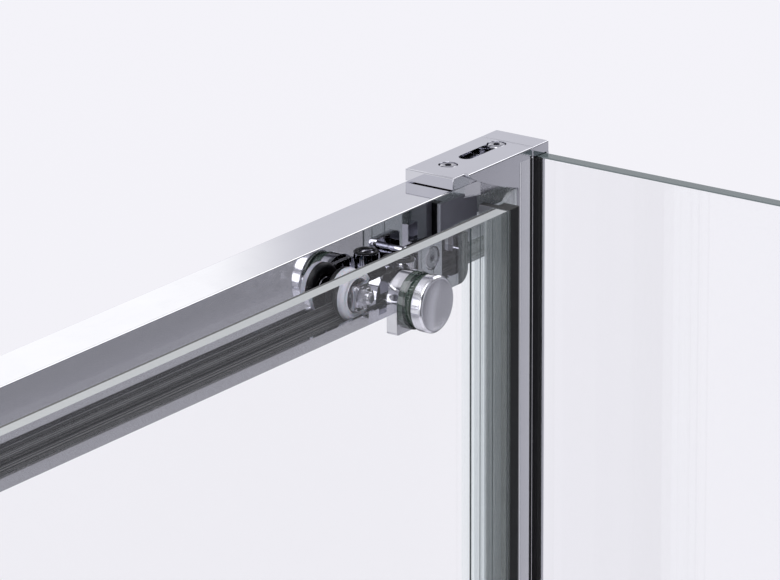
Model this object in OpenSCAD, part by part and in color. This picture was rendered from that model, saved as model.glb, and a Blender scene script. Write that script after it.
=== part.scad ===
// Corner shower enclosure with a top-hung sliding glass door on a chrome rail.
// X runs along the rail away from the corner post, +Y points into the shower, +Z is up.
// The origin is on the floor, at the centre of the enclosure's footprint.

/* [Enclosure] */
// Overall width, along the rail
enclosure_w = 1200; // [1150:10:1500]
// Overall depth, along the side pane
enclosure_d = 800; // [700:10:1000]
// Overall height
enclosure_h = 1950; // [1850:10:2050]

/* [Glass] */
// Thickness of all the panes
glass_t = 6; // [5:0.5:8]
// Side pane's top edge below the top of the frame
side_glass_drop = 4.5; // [4.1:0.1:10]
// Door pane's top edge below the top of the frame
door_glass_drop = 8.2; // [7.5:0.1:10]
// Glass held back from the bottom of each channel
glass_relief = 2; // [1:0.5:4]

/* [Corner post and side channel] */
// Depth of the corner post, from outside to inside
post_depth = 24; // [22:1:40]
// Width of the post's inner face
post_w = 8.6; // [8:0.2:16]
// Wall of the post
post_wall = 1.4; // [1:0.1:2]
// Rounding of the post's inner vertical edge
post_edge_r = 1.2; // [0.4:0.1:2]
// Fine seam between neighbouring profiles
seam = 0.1; // [0.05:0.05:0.3]
// Outer leg of the glass channels
channel_leg = 1.5; // [1.2:0.1:2.5]
// Inner leg of the side glass channels
inner_leg = 1; // [0.8:0.1:2]
// Gasket between the side pane and the inner leg
side_gasket_t = 2.3; // [1.5:0.1:4]
// Corner gasket standing proud of the post's face
gasket_proud = 2.5; // [1:0.1:4]
// Depth that the corner gasket reaches into its channel
gasket_depth = 8; // [5:0.5:14]
// Depth of the wall channels
wall_channel_d = 30; // [20:1:45]
// Height of the channels on the floor
sill_h = 15; // [10:1:30]

/* [Top bracket] */
// Thickness of the bracket's top plate
plate_t = 4; // [3:0.1:5]
// Length of the plate past the post, up to the nose
bracket_reach = 33.5; // [30:0.5:50]
// Length of the nose over the rail
nose_l = 7; // [4:0.5:15]
// Nose set back from the inner face
nose_setback = 2; // [1:0.1:2.6]
// Gap between the nose and the rail's top
nose_gap = 0.4; // [0.3:0.1:0.6]
// Thickness of the apron on the inner side
apron_t = 3; // [2:0.1:3]
// Apron's height at the post
apron_drop = 13.7; // [8:0.1:20]
// Apron's height at the nose
apron_tip = 1; // [0.8:0.1:3]
// Bulge of the apron's lower edge
apron_bulge = 1; // [0.5:0.1:2]
// Softened edges of the bracket
bracket_edge_r = 0.6; // [0.2:0.1:1]
// Travel of the adjusting slot
slot_run = 20; // [10:0.5:21]
// Width of the adjusting slot
slot_w = 5.8; // [4.5:0.1:6]
// Head diameter of the bracket screws
screw_head_d = 7; // [6:0.1:8]
// Head height of the bracket screws
screw_head_h = 2; // [1.5:0.1:2.5]
// Shank diameter of the bracket screws
screw_d = 4; // [3:0.1:4.4]
// Width across the flats of the screws' hexagon socket
socket_w = 2.5; // [2:0.1:3]
// Depth of the screws' socket
socket_depth = 1.4; // [1:0.1:2]
// Clearance round screws
screw_clearance = 0.2; // [0.1:0.05:0.3]
// Length of the bracket screws
bracket_screw_l = 20; // [16:1:22]

/* [Rail and track] */
// Width of the rail's box
rail_w = 21; // [18:0.5:21.5]
// Height of the rail
rail_h = 29.3; // [27:0.1:36]
// Rail's top below the top of the bracket
rail_drop = 5; // [4.5:0.1:6]
// Wall of the rail's box
rail_wall = 2; // [1.5:0.1:3]
// Gap from the post to the rail's end
rail_setback = 21.5; // [18:0.5:22]
// Inner width of the track
track_w = 9.5; // [9:0.1:12]
// Thickness of the track's floor
track_floor_t = 1.5; // [1.2:0.1:2.2]
// Thickness of the track's lip
lip_t = 1.5; // [1:0.1:2.5]
// Height of the lip from the rail's underside
lip_h = 4.5; // [3:0.1:6]
// Thickness of the track's end cap
end_cap_t = 6; // [3:0.5:8]
// Height of the track's end cap
end_cap_h = 18.8; // [16:0.1:24]
// Thickness of the end cap's upright plate, across the rail
end_cap_plate_t = 2.7; // [2:0.1:3.5]
// Height of the end cap's foot, which reaches back to the rail
end_cap_foot_h = 12.3; // [8:0.1:14]
// Rounding of the end cap's lower corner
end_cap_r = 5; // [2:0.5:8]
// Track's start from the rail's end
track_setback = 35; // [32:0.5:40]
// Length of the stops
stop_l = 15; // [13:0.5:15]
// Height of the stops above the track's floor
stop_h = 18; // [15:0.5:24]
// Thickness of the stops' face plates
stop_plate_t = 3.2; // [2.6:0.1:4]
// Height of the stops' feet, which fill the track
stop_foot_h = 9; // [6:0.5:10]
// Front stop's distance from the track's start
stop_setback = 8.5; // [6:0.5:8.5]
// Rear stop's distance from the plug on the wall
rear_stop_setback = 45; // [10:1:45]
// Height of the stop screws above the track's floor
stop_screw_rise = 12.3; // [9:0.1:14]
// Head diameter of the stop screws
stop_screw_d = 8.8; // [6:0.2:9]

/* [Rollers] */
// Diameter of the wheels
wheel_d = 19; // [18:0.5:21]
// Width of the wheels
wheel_w = 5; // [4.5:0.1:6]
// Wheel's gap to the rail's face
wheel_side_gap = 3; // [2:0.1:3.6]
// Running gap under the wheels
wheel_gap = 0.3; // [0.3:0.1:0.5]
// Outer diameter of the ball bearings
bearing_d = 13; // [11:0.5:14]
// Width of the ball bearings
bearing_w = 3.5; // [3:0.1:3.5]
// Diameter of the axle in the bearing
axle_d = 5; // [4:0.1:5.4]
// Radial running clearance on the axle
running_clearance = 0.05; // [0.02:0.01:0.1]
// Gap between the wheel and the carrier's arm
hub_gap = 0.3; // [0.3:0.1:0.6]
// Length of the hexagon in front of the arm
hex_l = 2.2; // [1.8:0.1:3]
// Width across the hexagon's corners
hex_d = 8.6; // [8:0.1:9.2]
// Axle's end in front of the hexagon
axle_tip_l = 1.6; // [1:0.1:2.5]
// Wheel axle's offset from the clamp's axis, along the rail
axle_offset = 22.2; // [21.6:0.1:24]
// Clamp's axis below the wheel's axis
clamp_drop = 5.8; // [5:0.1:6.5]
// Thickness of the carrier's arm
arm_t = 2; // [1.6:0.1:2.6]
// Height of the carrier's arm
arm_h = 9.5; // [9:0.1:10.4]
// Length of the carrier's block, along the rail
carrier_w = 19.2; // [18:0.1:19.4]
// Height of the carrier's block
carrier_h = 7.3; // [6:0.1:9]
// Carrier block's end past the clamp's axis
carrier_reach = 6.2; // [6:0.1:7]
// Gap between the carrier's block and the rail
carrier_gap = 3.5; // [2:0.1:4]
// Gap between the carrier's block and the track's lip below it
carrier_lift = 0.5; // [0.4:0.1:1]
// Diameter of the height adjuster
adjuster_d = 6; // [4:0.1:6.4]
// Length of the height adjuster
adjuster_l = 6; // [4:0.5:8]
// Adjuster's axis from the clamp's axis, towards the corner
adjuster_offset = 8; // [7.5:0.1:8]
// Diameter of the adjuster's collar
collar_d = 9.8; // [8.6:0.1:10]
// Height of the collar above the carrier's block
collar_h = 4.4; // [3.5:0.1:6]
// Gap between the track's lip and the back plate
lip_gap = 1.7; // [1.3:0.1:3]
// Thickness of the back plate
back_plate_t = 4.5; // [3:0.1:6]
// Diameter of the back plate's round top
back_plate_d = 22; // [20:0.5:26]
// Back plate's foot below the clamp's axis
back_plate_foot = 11; // [11:0.5:16]
// Thickness of the gasket on the outside of the door pane
outer_gasket_t = 2; // [1:0.1:3]
// Thickness of the gasket on the inside of the door pane
inner_gasket_t = 1; // [0.5:0.1:2]
// Hole in the door pane for the clamp
clamp_hole_d = 18.5; // [16:0.1:19]
// Wall of the bush in the clamp's hole
bush_wall = 3; // [2:0.1:4]
// Diameter of the clamp's stud
stud_d = 8; // [6:0.1:9]
// Diameter of the knob
knob_d = 21.6; // [20:0.1:26]
// Thickness of the knob
knob_t = 4.7; // [3.5:0.1:8]
// Depth of the knob's dished face
dish_depth = 0.8; // [0.4:0.1:1.2]
// Bevel round the knob's rim
knob_bevel = 0.8; // [0.4:0.1:1.2]
// Width of the index notch in the knob's rim
notch_w = 1.2; // [0.8:0.1:2]
// Length of the index notch, back from the knob's face
notch_l = 2; // [1:0.1:3]
// Depth of the index notch
notch_depth = 0.5; // [0.3:0.1:0.8]
// Clamp's axis from the door's vertical edges
clamp_inset = 53; // [48:1:80]

/* [Door] */
// Door pane's leading edge from the outer corner, when shut
door_edge = 60.3; // [60:0.1:62]
// Width of the door pane
door_w = 586; // [560:1:600]
// Door pane's lower edge above the floor
door_floor_gap = 14; // [12:0.5:18]
// Thickness of the clear seals' walls
seal_t = 1; // [0.8:0.1:1.1]
// Legs of the leading seal
leading_leg = 24.5; // [15:0.5:30]
// Legs of the trailing seal
trailing_leg = 12; // [8:0.5:14]
// Legs of the drip seal
drip_leg = 10; // [6:0.5:14]
// Proud ribs on the clear seals
rib_h = 0.5; // [0.3:0.1:0.6]
// Width of the black closing lip
lip_reach = 8; // [6:0.1:9]
// Thickness of the door's magnet
door_magnet_t = 3.5; // [2.5:0.1:4]
// Width of the door's magnet, across the rail
door_magnet_w = 6.5; // [5:0.5:8]

/* [Strike] */
// Width of the strike's head, along the rail
strike_w = 16; // [14:0.5:20]
// Depth of the strike's head
strike_d = 9; // [8:0.1:12]
// Wall of the strike
strike_wall = 1.5; // [1:0.1:2]
// Rounding of the strike's corner
strike_r = 4; // [2:0.5:5]
// Depth of the strike's foot on the post
strike_foot_d = 3.8; // [2.5:0.1:3.8]
// Clearance between the strike's web and the bracket's apron
web_clearance = 0.5; // [0.3:0.1:2]
// Depth of the strike's magnet
magnet_depth = 4; // [2.5:0.1:5]
// Gap from the strike to the door pane's outer face
strike_gap = 2; // [1.9:0.1:3]
// Height of the strike's end cap
strike_cap_h = 6.2; // [4:0.1:10]
// End cap's top below the top of the frame
strike_cap_drop = 6.8; // [5:0.1:8]
// Air between the two magnets
magnet_gap = 0.5; // [0.4:0.1:1]

/* [Fixed pane] */
// Fixed pane's overlap with the shut door
pane_overlap = 23; // [12:1:40]
// Legs of the fixed pane's channels
pane_leg_t = 1.5; // [1.2:0.1:2.5]
// Gaskets on the fixed pane
pane_gasket_t = 1; // [0.5:0.1:1.6]
// Legs of the glazing channel under the rail
glazing_h = 15; // [10:0.5:20]
// Legs of the fixed pane's edge seal
edge_leg = 15; // [10:0.5:20]
// Air between the edge seal's fin and the door pane
fin_gap = 0.4; // [0.3:0.1:0.8]

/* [Threshold and door guide] */
// Height of the threshold
threshold_h = 5; // [3:0.5:5.5]
// Depth of the threshold
threshold_d = 20; // [12:1:26]
// Length of the guide, along the rail
guide_l = 36; // [30:1:50]
// Height of the guide's jaws
guide_h = 22; // [20:0.5:26]
// Thickness of the guide's base
guide_base_t = 4; // [3:0.1:4.5]
// Thickness of the guide's outer jaw
outer_jaw_t = 6; // [4:0.5:6]
// Thickness of the guide's inner jaw
inner_jaw_t = 3.5; // [3:0.1:5]
// Air between the jaws and the drip seal
jaw_gap = 0.6; // [0.4:0.1:1]
// Diameter of the jaw's hinge pin
jaw_pin_d = 3; // [2:0.1:3.2]
// Thickness of the hinge's ears
ear_t = 3; // [2:0.1:4]

/* [Handles] */
// Diameter of the handle bars
bar_d = 12; // [10:0.5:14]
// Length of the handle bars
bar_l = 220; // [180:5:400]
// Distance between the handle's fixings
fixing_pitch = 180; // [120:5:180]
// Diameter of the handle's posts
handle_post_d = 10; // [9:0.5:12]
// Clear space between a bar and the pane
finger_gap = 18; // [15:0.5:20]
// Handle's centre above the floor
handle_height = 1050; // [900:10:1200]
// Handle's centre from the door's leading edge
handle_inset = 48; // [40:1:60]
// Diameter of the handle's through bolts
handle_bolt_d = 6; // [4:0.1:6]
// Thickness of the washers against the pane
washer_t = 1; // [0.5:0.1:2]

/* [Fixings] */
// Diameter of the wall fixing holes
wall_hole_d = 5; // [4:0.1:5.6]
// Distance between neighbouring wall fixing holes
wall_hole_pitch = 850; // [700:10:880]
// Length of the plugs in the ends of the rail
plug_l = 30; // [25:1:40]
// Length of the corner plug inside the rail
corner_plug_grip = 20; // [15:1:30]
// Distance between the two wall holes of the rail's plug
plug_hole_pitch = 12; // [10:0.5:13]
// Play between a plug and the rail
plug_play = 0.1; // [0.05:0.05:0.3]

/* [Hidden] */
$fn = 64;
chrome = [0.80, 0.80, 0.83];
satin = [0.66, 0.66, 0.69];
pane_tint = [0.72, 0.80, 0.79, 0.5];
clear_pvc = [0.85, 0.88, 0.88, 0.5];
black = [0.06, 0.06, 0.07];
pale_plastic = [0.80, 0.80, 0.82];
cut = 1;
lap = 0.1;
screw_hole_d = screw_d + 2 * screw_clearance;
head_hole_d = screw_head_d + 2 * screw_clearance;
stop_head_hole_d = stop_screw_d + 2 * screw_clearance;
pane_hole_d = handle_bolt_d + 2 * screw_clearance;
bolt_hole_d = handle_bolt_d + 2 * running_clearance;

// Places along X, from the outer corner
channel_w = channel_leg + glass_t + side_gasket_t + inner_leg;
post_start = channel_w + seam;
post_end = post_start + post_w;
post_screw_x = post_start + post_w / 2;
nose_start = post_end + bracket_reach;
rail_start = post_end + rail_setback;
rail_screw_x = (rail_start + nose_start) / 2;
track_start = rail_start + track_setback;
door_end = door_edge + door_w;
pane_start = door_end - pane_overlap;
wall_start = enclosure_w - wall_channel_d;
front_clamp_x = door_edge + clamp_inset;
rear_clamp_x = door_end - clamp_inset;
closing_stop_x = track_start + stop_setback;
opening_stop_x = enclosure_w - plug_l - rear_stop_setback - stop_l;
strike_end = door_edge - seal_t - door_magnet_t - magnet_gap;
strike_start = strike_end - strike_w;
handle_x = door_edge + handle_inset;
guide_x = door_end - guide_l / 2 - pane_overlap / 2;

// Places along Y, from the post's inner face
outer_y = -post_depth;
rail_face = outer_y + rail_w;
rail_mid = outer_y + rail_w / 2;
lip_face = rail_face + track_w + lip_t;
wheel_y = rail_face + wheel_side_gap;
arm_y = wheel_y + wheel_w + hub_gap;
hex_y = arm_y + arm_t;
back_plate_y = lip_face + lip_gap;
outer_gasket_y = back_plate_y + back_plate_t;
door_y = outer_gasket_y + outer_gasket_t;
door_inner_y = door_y + glass_t;
knob_y = door_inner_y + inner_gasket_t;
strike_face = door_y - strike_gap;
pane_y = rail_face + (lip_face - rail_face - glass_t) / 2;
pane_leg_y = pane_y - pane_gasket_t;
pane_inner_y = pane_y + glass_t;
pane_channel_y = pane_leg_y - pane_leg_t;
pane_channel_w = glass_t + 2 * (pane_gasket_t + pane_leg_t);
wall_face_y = enclosure_d - post_depth;
side_wall_y = wall_face_y - wall_channel_d;

// Heights, from the top of the frame
floor_z = -enclosure_h;
rail_top = -rail_drop;
rail_bottom = rail_top - rail_h;
track_floor = rail_bottom + track_floor_t;
wheel_z = track_floor + wheel_gap + wheel_d / 2;
clamp_z = wheel_z - clamp_drop;
door_top = -door_glass_drop;
door_bottom = floor_z + door_floor_gap;
glazing_bottom = rail_bottom - glazing_h;
strike_cap_top = -strike_cap_drop;
strike_top = strike_cap_top - strike_cap_h;
drip_top = door_bottom + drip_leg;
handle_z = floor_z + handle_height;
wall_hole_z = floor_z + enclosure_h / 2;

// Frame helpers: children are drawn from the outer corner at the top of the frame
module placed() {
    translate([-enclosure_w / 2, post_depth - enclosure_d / 2, enclosure_h]) children();
}

module upright(bottom, top) {
    translate([0, 0, bottom]) linear_extrude(top - bottom) children();
}

module along_x(start, end) {
    translate([start, 0, 0]) rotate([90, 0, 90]) linear_extrude(end - start) children();
}

module along_y(start, end) {
    translate([0, end, 0]) rotate([90, 0, 0]) linear_extrude(end - start) children();
}

module block(low, high) {
    translate(low) cube(high - low);
}

module rod_x(d, start, end, y, z) {
    translate([start, y, z]) rotate([0, 90, 0]) cylinder(d = d, h = end - start);
}

module rod_y(d, start, end, x, z) {
    translate([x, start, z]) rotate([-90, 0, 0]) cylinder(d = d, h = end - start);
}

module rod_z(d, bottom, top, x, y) {
    translate([x, y, bottom]) cylinder(d = d, h = top - bottom);
}

// A rectangle with round corners, made of true arcs
module soft_rect(w, d, r) {
    translate([r, 0]) square([w - 2 * r, d]);
    translate([0, r]) square([w, d - 2 * r]);
    for (x = [r, w - r], y = [r, d - r]) translate([x, y]) circle(r);
}

// A block whose vertical and upper edges are softened, with a plain underside
module soft_top_block(low, high, r) {
    size = high - low;
    translate(low) intersection() {
        cube(size);
        linear_extrude(size[2]) soft_rect(size[0], size[1], r);
        translate([0, 0, -2 * r]) along_x(0, size[0]) soft_rect(size[1], size[2] + 2 * r, r);
        translate([0, 0, -2 * r]) along_y(0, size[1]) soft_rect(size[0], size[2] + 2 * r, r);
    }
}

// A trough outline: outer leg, inner leg and a base, open along +Y of the outline
module trough(w, depth, first_leg, second_leg, base_t) {
    difference() {
        square([w, depth]);
        translate([first_leg, base_t]) square([w - first_leg - second_leg, depth]);
    }
}

module socket_screw(d, head_d, head_h, length) {
    difference() {
        union() {
            translate([0, 0, -head_h]) cylinder(d = head_d, h = head_h);
            translate([0, 0, -length]) cylinder(d = d, h = length - head_h + lap);
        }
        translate([0, 0, -socket_depth]) cylinder(d = socket_w / cos(30), h = head_h, $fn = 6);
    }
}

// Corner post, with a screw port for the bracket
module corner_post() color(chrome) placed() {
    difference() {
        upright(floor_z, -plate_t) difference() {
            translate([post_start, outer_y]) union() {
                square([post_w - post_edge_r, post_depth]);
                square([post_w, post_depth - post_edge_r]);
                translate([post_w - post_edge_r, post_depth - post_edge_r]) circle(post_edge_r);
            }
            difference() {
                translate([post_start + post_wall, outer_y + post_wall])
                    square([post_w - 2 * post_wall, post_depth - 2 * post_wall]);
                translate([post_screw_x, rail_mid]) circle(d = post_w - post_wall);
            }
        }
        rod_z(screw_hole_d, -plate_t - bracket_screw_l, cut - plate_t, post_screw_x, rail_mid);
    }
}

module side_channel() color(chrome) placed() {
    upright(floor_z, -plate_t) translate([0, outer_y])
        trough(channel_w, post_depth, channel_leg, inner_leg, channel_leg);
}

// Top bracket: a slotted plate with a nose over the rail and a tapering apron inside
module corner_bracket() color(chrome) placed() {
    difference() {
        union() {
            difference() {
                soft_top_block([post_start, outer_y, -plate_t], [nose_start, 0, 0], bracket_edge_r);
                block([post_end, -apron_t, -plate_t - cut], [nose_start + cut, cut, cut]);
            }
            soft_top_block([rail_start, outer_y, rail_top + nose_gap],
                [nose_start + nose_l, -nose_setback, 0], bracket_edge_r);
            bracket_apron();
        }
        rod_z(head_hole_d, -screw_head_h, cut, rail_screw_x, rail_mid);
        rod_z(screw_hole_d, rail_top, cut, rail_screw_x, rail_mid);
        rod_z(head_hole_d, -screw_head_h, cut, post_screw_x, rail_mid);
        bracket_slot();
    }
}

module bracket_slot() {
    upright(-plate_t - cut, cut) {
        translate([post_screw_x, rail_mid - slot_w / 2]) square([slot_run, slot_w]);
        translate([post_screw_x, rail_mid]) circle(d = slot_w);
        translate([post_screw_x + slot_run, rail_mid]) circle(d = slot_w);
    }
}

// The apron's lower edge is an arc from the post down to the nose
module bracket_apron() {
    run = nose_start - post_end;
    rise = apron_drop - apron_tip;
    chord = norm([run, rise]);
    arc_r = (chord * chord / 4 + apron_bulge * apron_bulge) / (2 * apron_bulge);
    lift = arc_r - apron_bulge;
    centre = [
        (post_end + nose_start) / 2 - lift * rise / chord,
        -(apron_drop + apron_tip) / 2 + lift * run / chord
    ];
    intersection() {
        soft_top_block([post_end - 2 * bracket_edge_r, -apron_t - 2 * bracket_edge_r, -apron_drop],
            [nose_start, 0, 0], bracket_edge_r);
        block([post_end, -apron_t, -apron_drop], [nose_start, 0, 0]);
        translate([centre[0], 0, centre[1]]) rotate([90, 0, 0])
            cylinder(r = arc_r, h = 4 * apron_t, center = true, $fn = 256);
    }
}

module channel_cap() color(chrome) placed() {
    soft_top_block([0, outer_y, -plate_t], [channel_w, 0, 0], bracket_edge_r);
}

module bracket_screws() color(satin) placed() {
    for (x = [post_screw_x, rail_screw_x])
        translate([x, rail_mid, 0]) socket_screw(screw_d, screw_head_d, screw_head_h, bracket_screw_l);
}

// Plug that joins the rail to the post: half of it shows under the bracket
module rail_corner_plug() color(satin) placed() {
    inset = rail_wall + plug_play;
    difference() {
        union() {
            block([post_end, outer_y + inset, rail_bottom + inset],
                [rail_start, rail_face - inset, rail_top]);
            block([post_end, outer_y + inset, rail_bottom + inset],
                [rail_start + corner_plug_grip, rail_face - inset, rail_top - inset]);
        }
        rod_z(screw_hole_d, -bracket_screw_l - cut, cut, rail_screw_x, rail_mid);
    }
}

// Rail: a closed box with the track's floor and lip along its inner face
module header_rail() color(chrome) placed() {
    difference() {
        along_x(rail_start, enclosure_w) rail_outline();
        block([rail_start - cut, rail_face, rail_bottom - cut], [track_start, lip_face + cut, rail_top]);
        rod_z(screw_hole_d, rail_top - rail_wall - cut, rail_top + cut, rail_screw_x, rail_mid);
        rod_z(screw_hole_d, rail_top - rail_wall - cut, rail_top + cut, plug_screw_x, rail_mid);
        for (x = stop_screw_places)
            rod_y(screw_hole_d, rail_face - rail_wall - cut, rail_face + cut, x, stop_screw_z);
    }
}

module rail_outline() {
    difference() {
        translate([outer_y, rail_bottom]) soft_rect(rail_w, rail_h, rail_edge_r);
        translate([outer_y + rail_wall, rail_bottom + rail_wall])
            square([rail_w - 2 * rail_wall, rail_h - 2 * rail_wall]);
    }
    translate([rail_face - rail_wall, rail_bottom]) square([rail_wall + track_w + lip_t, track_floor_t]);
    translate([lip_face - lip_t, rail_bottom]) square([lip_t, lip_h]);
}
rail_edge_r = 0.6;

// The end cap: an upright plate over the lip and a lower foot back to the rail
module track_end_cap() color(chrome) placed() {
    along_y(lip_face - end_cap_plate_t, lip_face) end_cap_outline(end_cap_h);
    along_y(rail_face, lip_face) end_cap_outline(end_cap_foot_h);
}

module end_cap_outline(h) {
    translate([track_start - end_cap_t, rail_bottom + end_cap_r]) square([end_cap_t, h - end_cap_r]);
    intersection() {
        translate([track_start - end_cap_t, rail_bottom]) square([end_cap_t, end_cap_r]);
        translate([track_start - end_cap_t + end_cap_r, rail_bottom + end_cap_r]) circle(end_cap_r);
    }
    translate([track_start - end_cap_t + end_cap_r, rail_bottom])
        square([max(end_cap_t - end_cap_r, seam), end_cap_r]);
}

// Stops in the track: a face plate on a foot, held by one screw into the rail
stop_screw_inset = 6;
stop_edge_r = 1;
stop_screw_z = track_floor + stop_screw_rise;
stop_face = lip_face - lip_t - seam;
stop_screw_places = [closing_stop_x + stop_screw_inset, opening_stop_x + stop_l - stop_screw_inset];

module track_stop(x, screw_x) {
    difference() {
        union() {
            along_y(stop_face - stop_plate_t, stop_face) translate([x, track_floor])
                soft_rect(stop_l, stop_h, stop_edge_r);
            along_y(rail_face, stop_face) translate([x, track_floor])
                soft_rect(stop_l, stop_foot_h, stop_edge_r);
        }
        rod_y(screw_hole_d, rail_face - cut, stop_face + cut, screw_x, stop_screw_z);
        rod_y(stop_head_hole_d, stop_face - screw_head_h, stop_face + cut, screw_x, stop_screw_z);
    }
}

module closing_stop() color(satin) placed() track_stop(closing_stop_x, stop_screw_places[0]);

module opening_stop() color(satin) placed() track_stop(opening_stop_x, stop_screw_places[1]);

module stop_screws() color(satin) placed() {
    for (x = stop_screw_places)
        translate([x, stop_face, stop_screw_z]) rotate([-90, 0, 0])
            socket_screw(screw_d, stop_screw_d, screw_head_h, stop_face - rail_face + rail_wall);
}

// Plug on the wall that carries the rail's far end
plug_screw_x = enclosure_w - plug_l / 2;

module rail_wall_plug() color(satin) placed() {
    inset = rail_wall + plug_play;
    difference() {
        block([enclosure_w - plug_l, outer_y + inset, rail_bottom + inset],
            [enclosure_w, rail_face - inset, rail_top - inset]);
        for (z = [-plug_hole_pitch / 2, plug_hole_pitch / 2])
            rod_x(wall_hole_d, enclosure_w - plug_l - cut, enclosure_w + cut, rail_mid, plug_z + z);
        rod_z(screw_hole_d, plug_screw_tip - screw_clearance, rail_top, plug_screw_x, rail_mid);
    }
}
plug_screw_head_h = 2;
plug_screw_clearance = 0.5;
plug_z = rail_top - rail_h / 2;
plug_screw_tip = plug_z + plug_hole_pitch / 2 + wall_hole_d / 2 + plug_screw_clearance;

module plug_screw() color(satin) placed() {
    translate([plug_screw_x, rail_mid, rail_top + plug_screw_head_h])
        socket_screw(screw_d, screw_head_d, plug_screw_head_h,
            rail_top + plug_screw_head_h - plug_screw_tip);
}

// Wall channels, with three fixing holes each
module front_wall_channel() color(chrome) placed() {
    difference() {
        upright(floor_z, rail_bottom) translate([enclosure_w, pane_channel_y]) rotate([0, 0, 90])
            trough(pane_channel_w, wall_channel_d, pane_leg_t, pane_leg_t, pane_leg_t);
        for (step = [-1, 0, 1])
            rod_x(wall_hole_d, enclosure_w - 2 * pane_leg_t, enclosure_w + cut, pane_y + glass_t / 2,
                wall_hole_z + step * wall_hole_pitch);
    }
}

module side_wall_channel() color(chrome) placed() {
    difference() {
        upright(floor_z, -plate_t) translate([0, wall_face_y]) mirror([0, 1])
            trough(channel_w, wall_channel_d, channel_leg, inner_leg, channel_leg);
        for (step = [-1, 0, 1])
            rod_y(wall_hole_d, wall_face_y - 2 * channel_leg, wall_face_y + cut, channel_w / 2,
                wall_hole_z + step * wall_hole_pitch);
    }
}

module side_glass() color(pane_tint) placed() {
    block([channel_leg, outer_y + channel_leg + glass_relief, floor_z + channel_leg + glass_relief],
        [channel_leg + glass_t, wall_face_y - channel_leg - wall_play, -side_glass_drop]);
}
wall_play = 8;

// Black gasket between the side pane and the corner channel, proud of the post's face
module corner_gasket() color(black) placed() {
    upright(floor_z + sill_h, -side_glass_drop) translate([channel_leg + glass_t, 0]) {
        translate([0, -gasket_depth]) square([side_gasket_t, gasket_depth]);
        square([side_gasket_t, gasket_proud - side_gasket_t / 2]);
        translate([side_gasket_t / 2, gasket_proud - side_gasket_t / 2]) circle(d = side_gasket_t);
    }
}

module side_gaskets() color(black) placed() {
    gasket_x = channel_leg + glass_t;
    block([gasket_x, side_wall_y, floor_z + sill_h],
        [gasket_x + side_gasket_t, side_wall_y + gasket_depth, -side_glass_drop]);
    block([gasket_x, 0, floor_z + sill_h - gasket_depth],
        [gasket_x + side_gasket_t, side_wall_y, floor_z + sill_h]);
}

module side_sill() color(chrome) placed() {
    translate([0, side_wall_y, floor_z]) rotate([90, 0, 0]) linear_extrude(side_wall_y)
        trough(channel_w, sill_h, channel_leg, inner_leg, channel_leg);
}

module fixed_glass() color(pane_tint) placed() {
    block([pane_start, pane_y, floor_z + pane_leg_t + glass_relief],
        [enclosure_w - pane_leg_t - wall_play, pane_inner_y, rail_bottom - pane_leg_t - glass_relief]);
}

// Channel under the rail that holds the fixed pane's top edge
module glazing_channel() color(chrome) placed() {
    along_x(pane_start, wall_start) translate([pane_channel_y, rail_bottom]) mirror([0, 1])
        trough(pane_channel_w, glazing_h, pane_leg_t, pane_leg_t, pane_leg_t);
}

module fixed_gaskets() color(black) placed() {
    strip = gasket_depth;
    for (y = [pane_leg_y, pane_inner_y]) {
        block([pane_start, y, glazing_bottom], [wall_start, y + pane_gasket_t, glazing_bottom + strip]);
        block([pane_start, y, floor_z + sill_h - strip], [wall_start, y + pane_gasket_t, floor_z + sill_h]);
        block([wall_start, y, floor_z + sill_h], [wall_start + strip, y + pane_gasket_t, glazing_bottom]);
    }
}

module fixed_sill() color(chrome) placed() {
    along_x(pane_start, wall_start) translate([pane_channel_y, floor_z])
        trough(pane_channel_w, sill_h, pane_leg_t, pane_leg_t, pane_leg_t);
}

// Clear seal on the fixed pane's free edge, with a fin towards the door pane
module fixed_edge_seal() color(clear_pvc) placed() {
    upright(drip_top + seal_t, glazing_bottom) {
        translate([pane_start - seal_t, pane_y - seal_t]) square([seal_t + edge_leg, seal_t]);
        translate([pane_start - seal_t, pane_y]) square([seal_t, glass_t]);
        translate([pane_start - seal_t, pane_inner_y]) square([seal_t + edge_leg, seal_t]);
        translate([pane_start - seal_t, pane_inner_y]) square([seal_t, door_y - fin_gap - pane_inner_y]);
    }
}

// Strike: a foot on the post, a slanting web and a head that the door closes against
strike_foot_y = -post_edge_r - strike_foot_d;
web_top = -apron_drop - web_clearance;

module strike_profile() color(chrome) placed() {
    upright(floor_z + threshold_h, web_top) {
        translate([post_end, strike_foot_y]) square([strike_wall, strike_foot_d]);
        strike_web();
    }
    upright(floor_z + threshold_h, strike_top) difference() {
        strike_head_outline();
        translate([strike_end - magnet_depth, strike_face - strike_d + strike_wall])
            square([magnet_depth + cut, strike_d - 2 * strike_wall]);
    }
}

module strike_web() {
    root = [post_end + strike_wall / 2, strike_foot_y + strike_foot_d / 2];
    tip = [strike_start + strike_wall, strike_face - strike_d + strike_wall / 2];
    run = tip - root;
    across = [-run[1], run[0]] / norm(run) * strike_wall / 2;
    polygon([root - across, tip - across, tip + across, root + across]);
}

module strike_head_outline() {
    translate([strike_start, strike_face - strike_d]) {
        square([strike_w, strike_d - strike_r]);
        translate([strike_r, 0]) square([strike_w - strike_r, strike_d]);
        translate([strike_r, strike_d - strike_r]) circle(strike_r);
    }
}

module strike_magnet() color(black) placed() {
    block([strike_end - magnet_depth, strike_face - strike_d + strike_wall, floor_z + threshold_h],
        [strike_end, strike_face - strike_wall, strike_top]);
}

module strike_cap() color(chrome) placed() {
    upright(strike_top, strike_cap_top) strike_head_outline();
}

module threshold() color(chrome) placed() {
    mid = door_y + glass_t / 2;
    along_x(channel_w, guide_x) translate([mid - threshold_d / 2, floor_z]) {
        square([threshold_d, threshold_h - threshold_edge_r]);
        soft_rect(threshold_d, threshold_h, threshold_edge_r);
    }
}
threshold_edge_r = 1.5;

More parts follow.
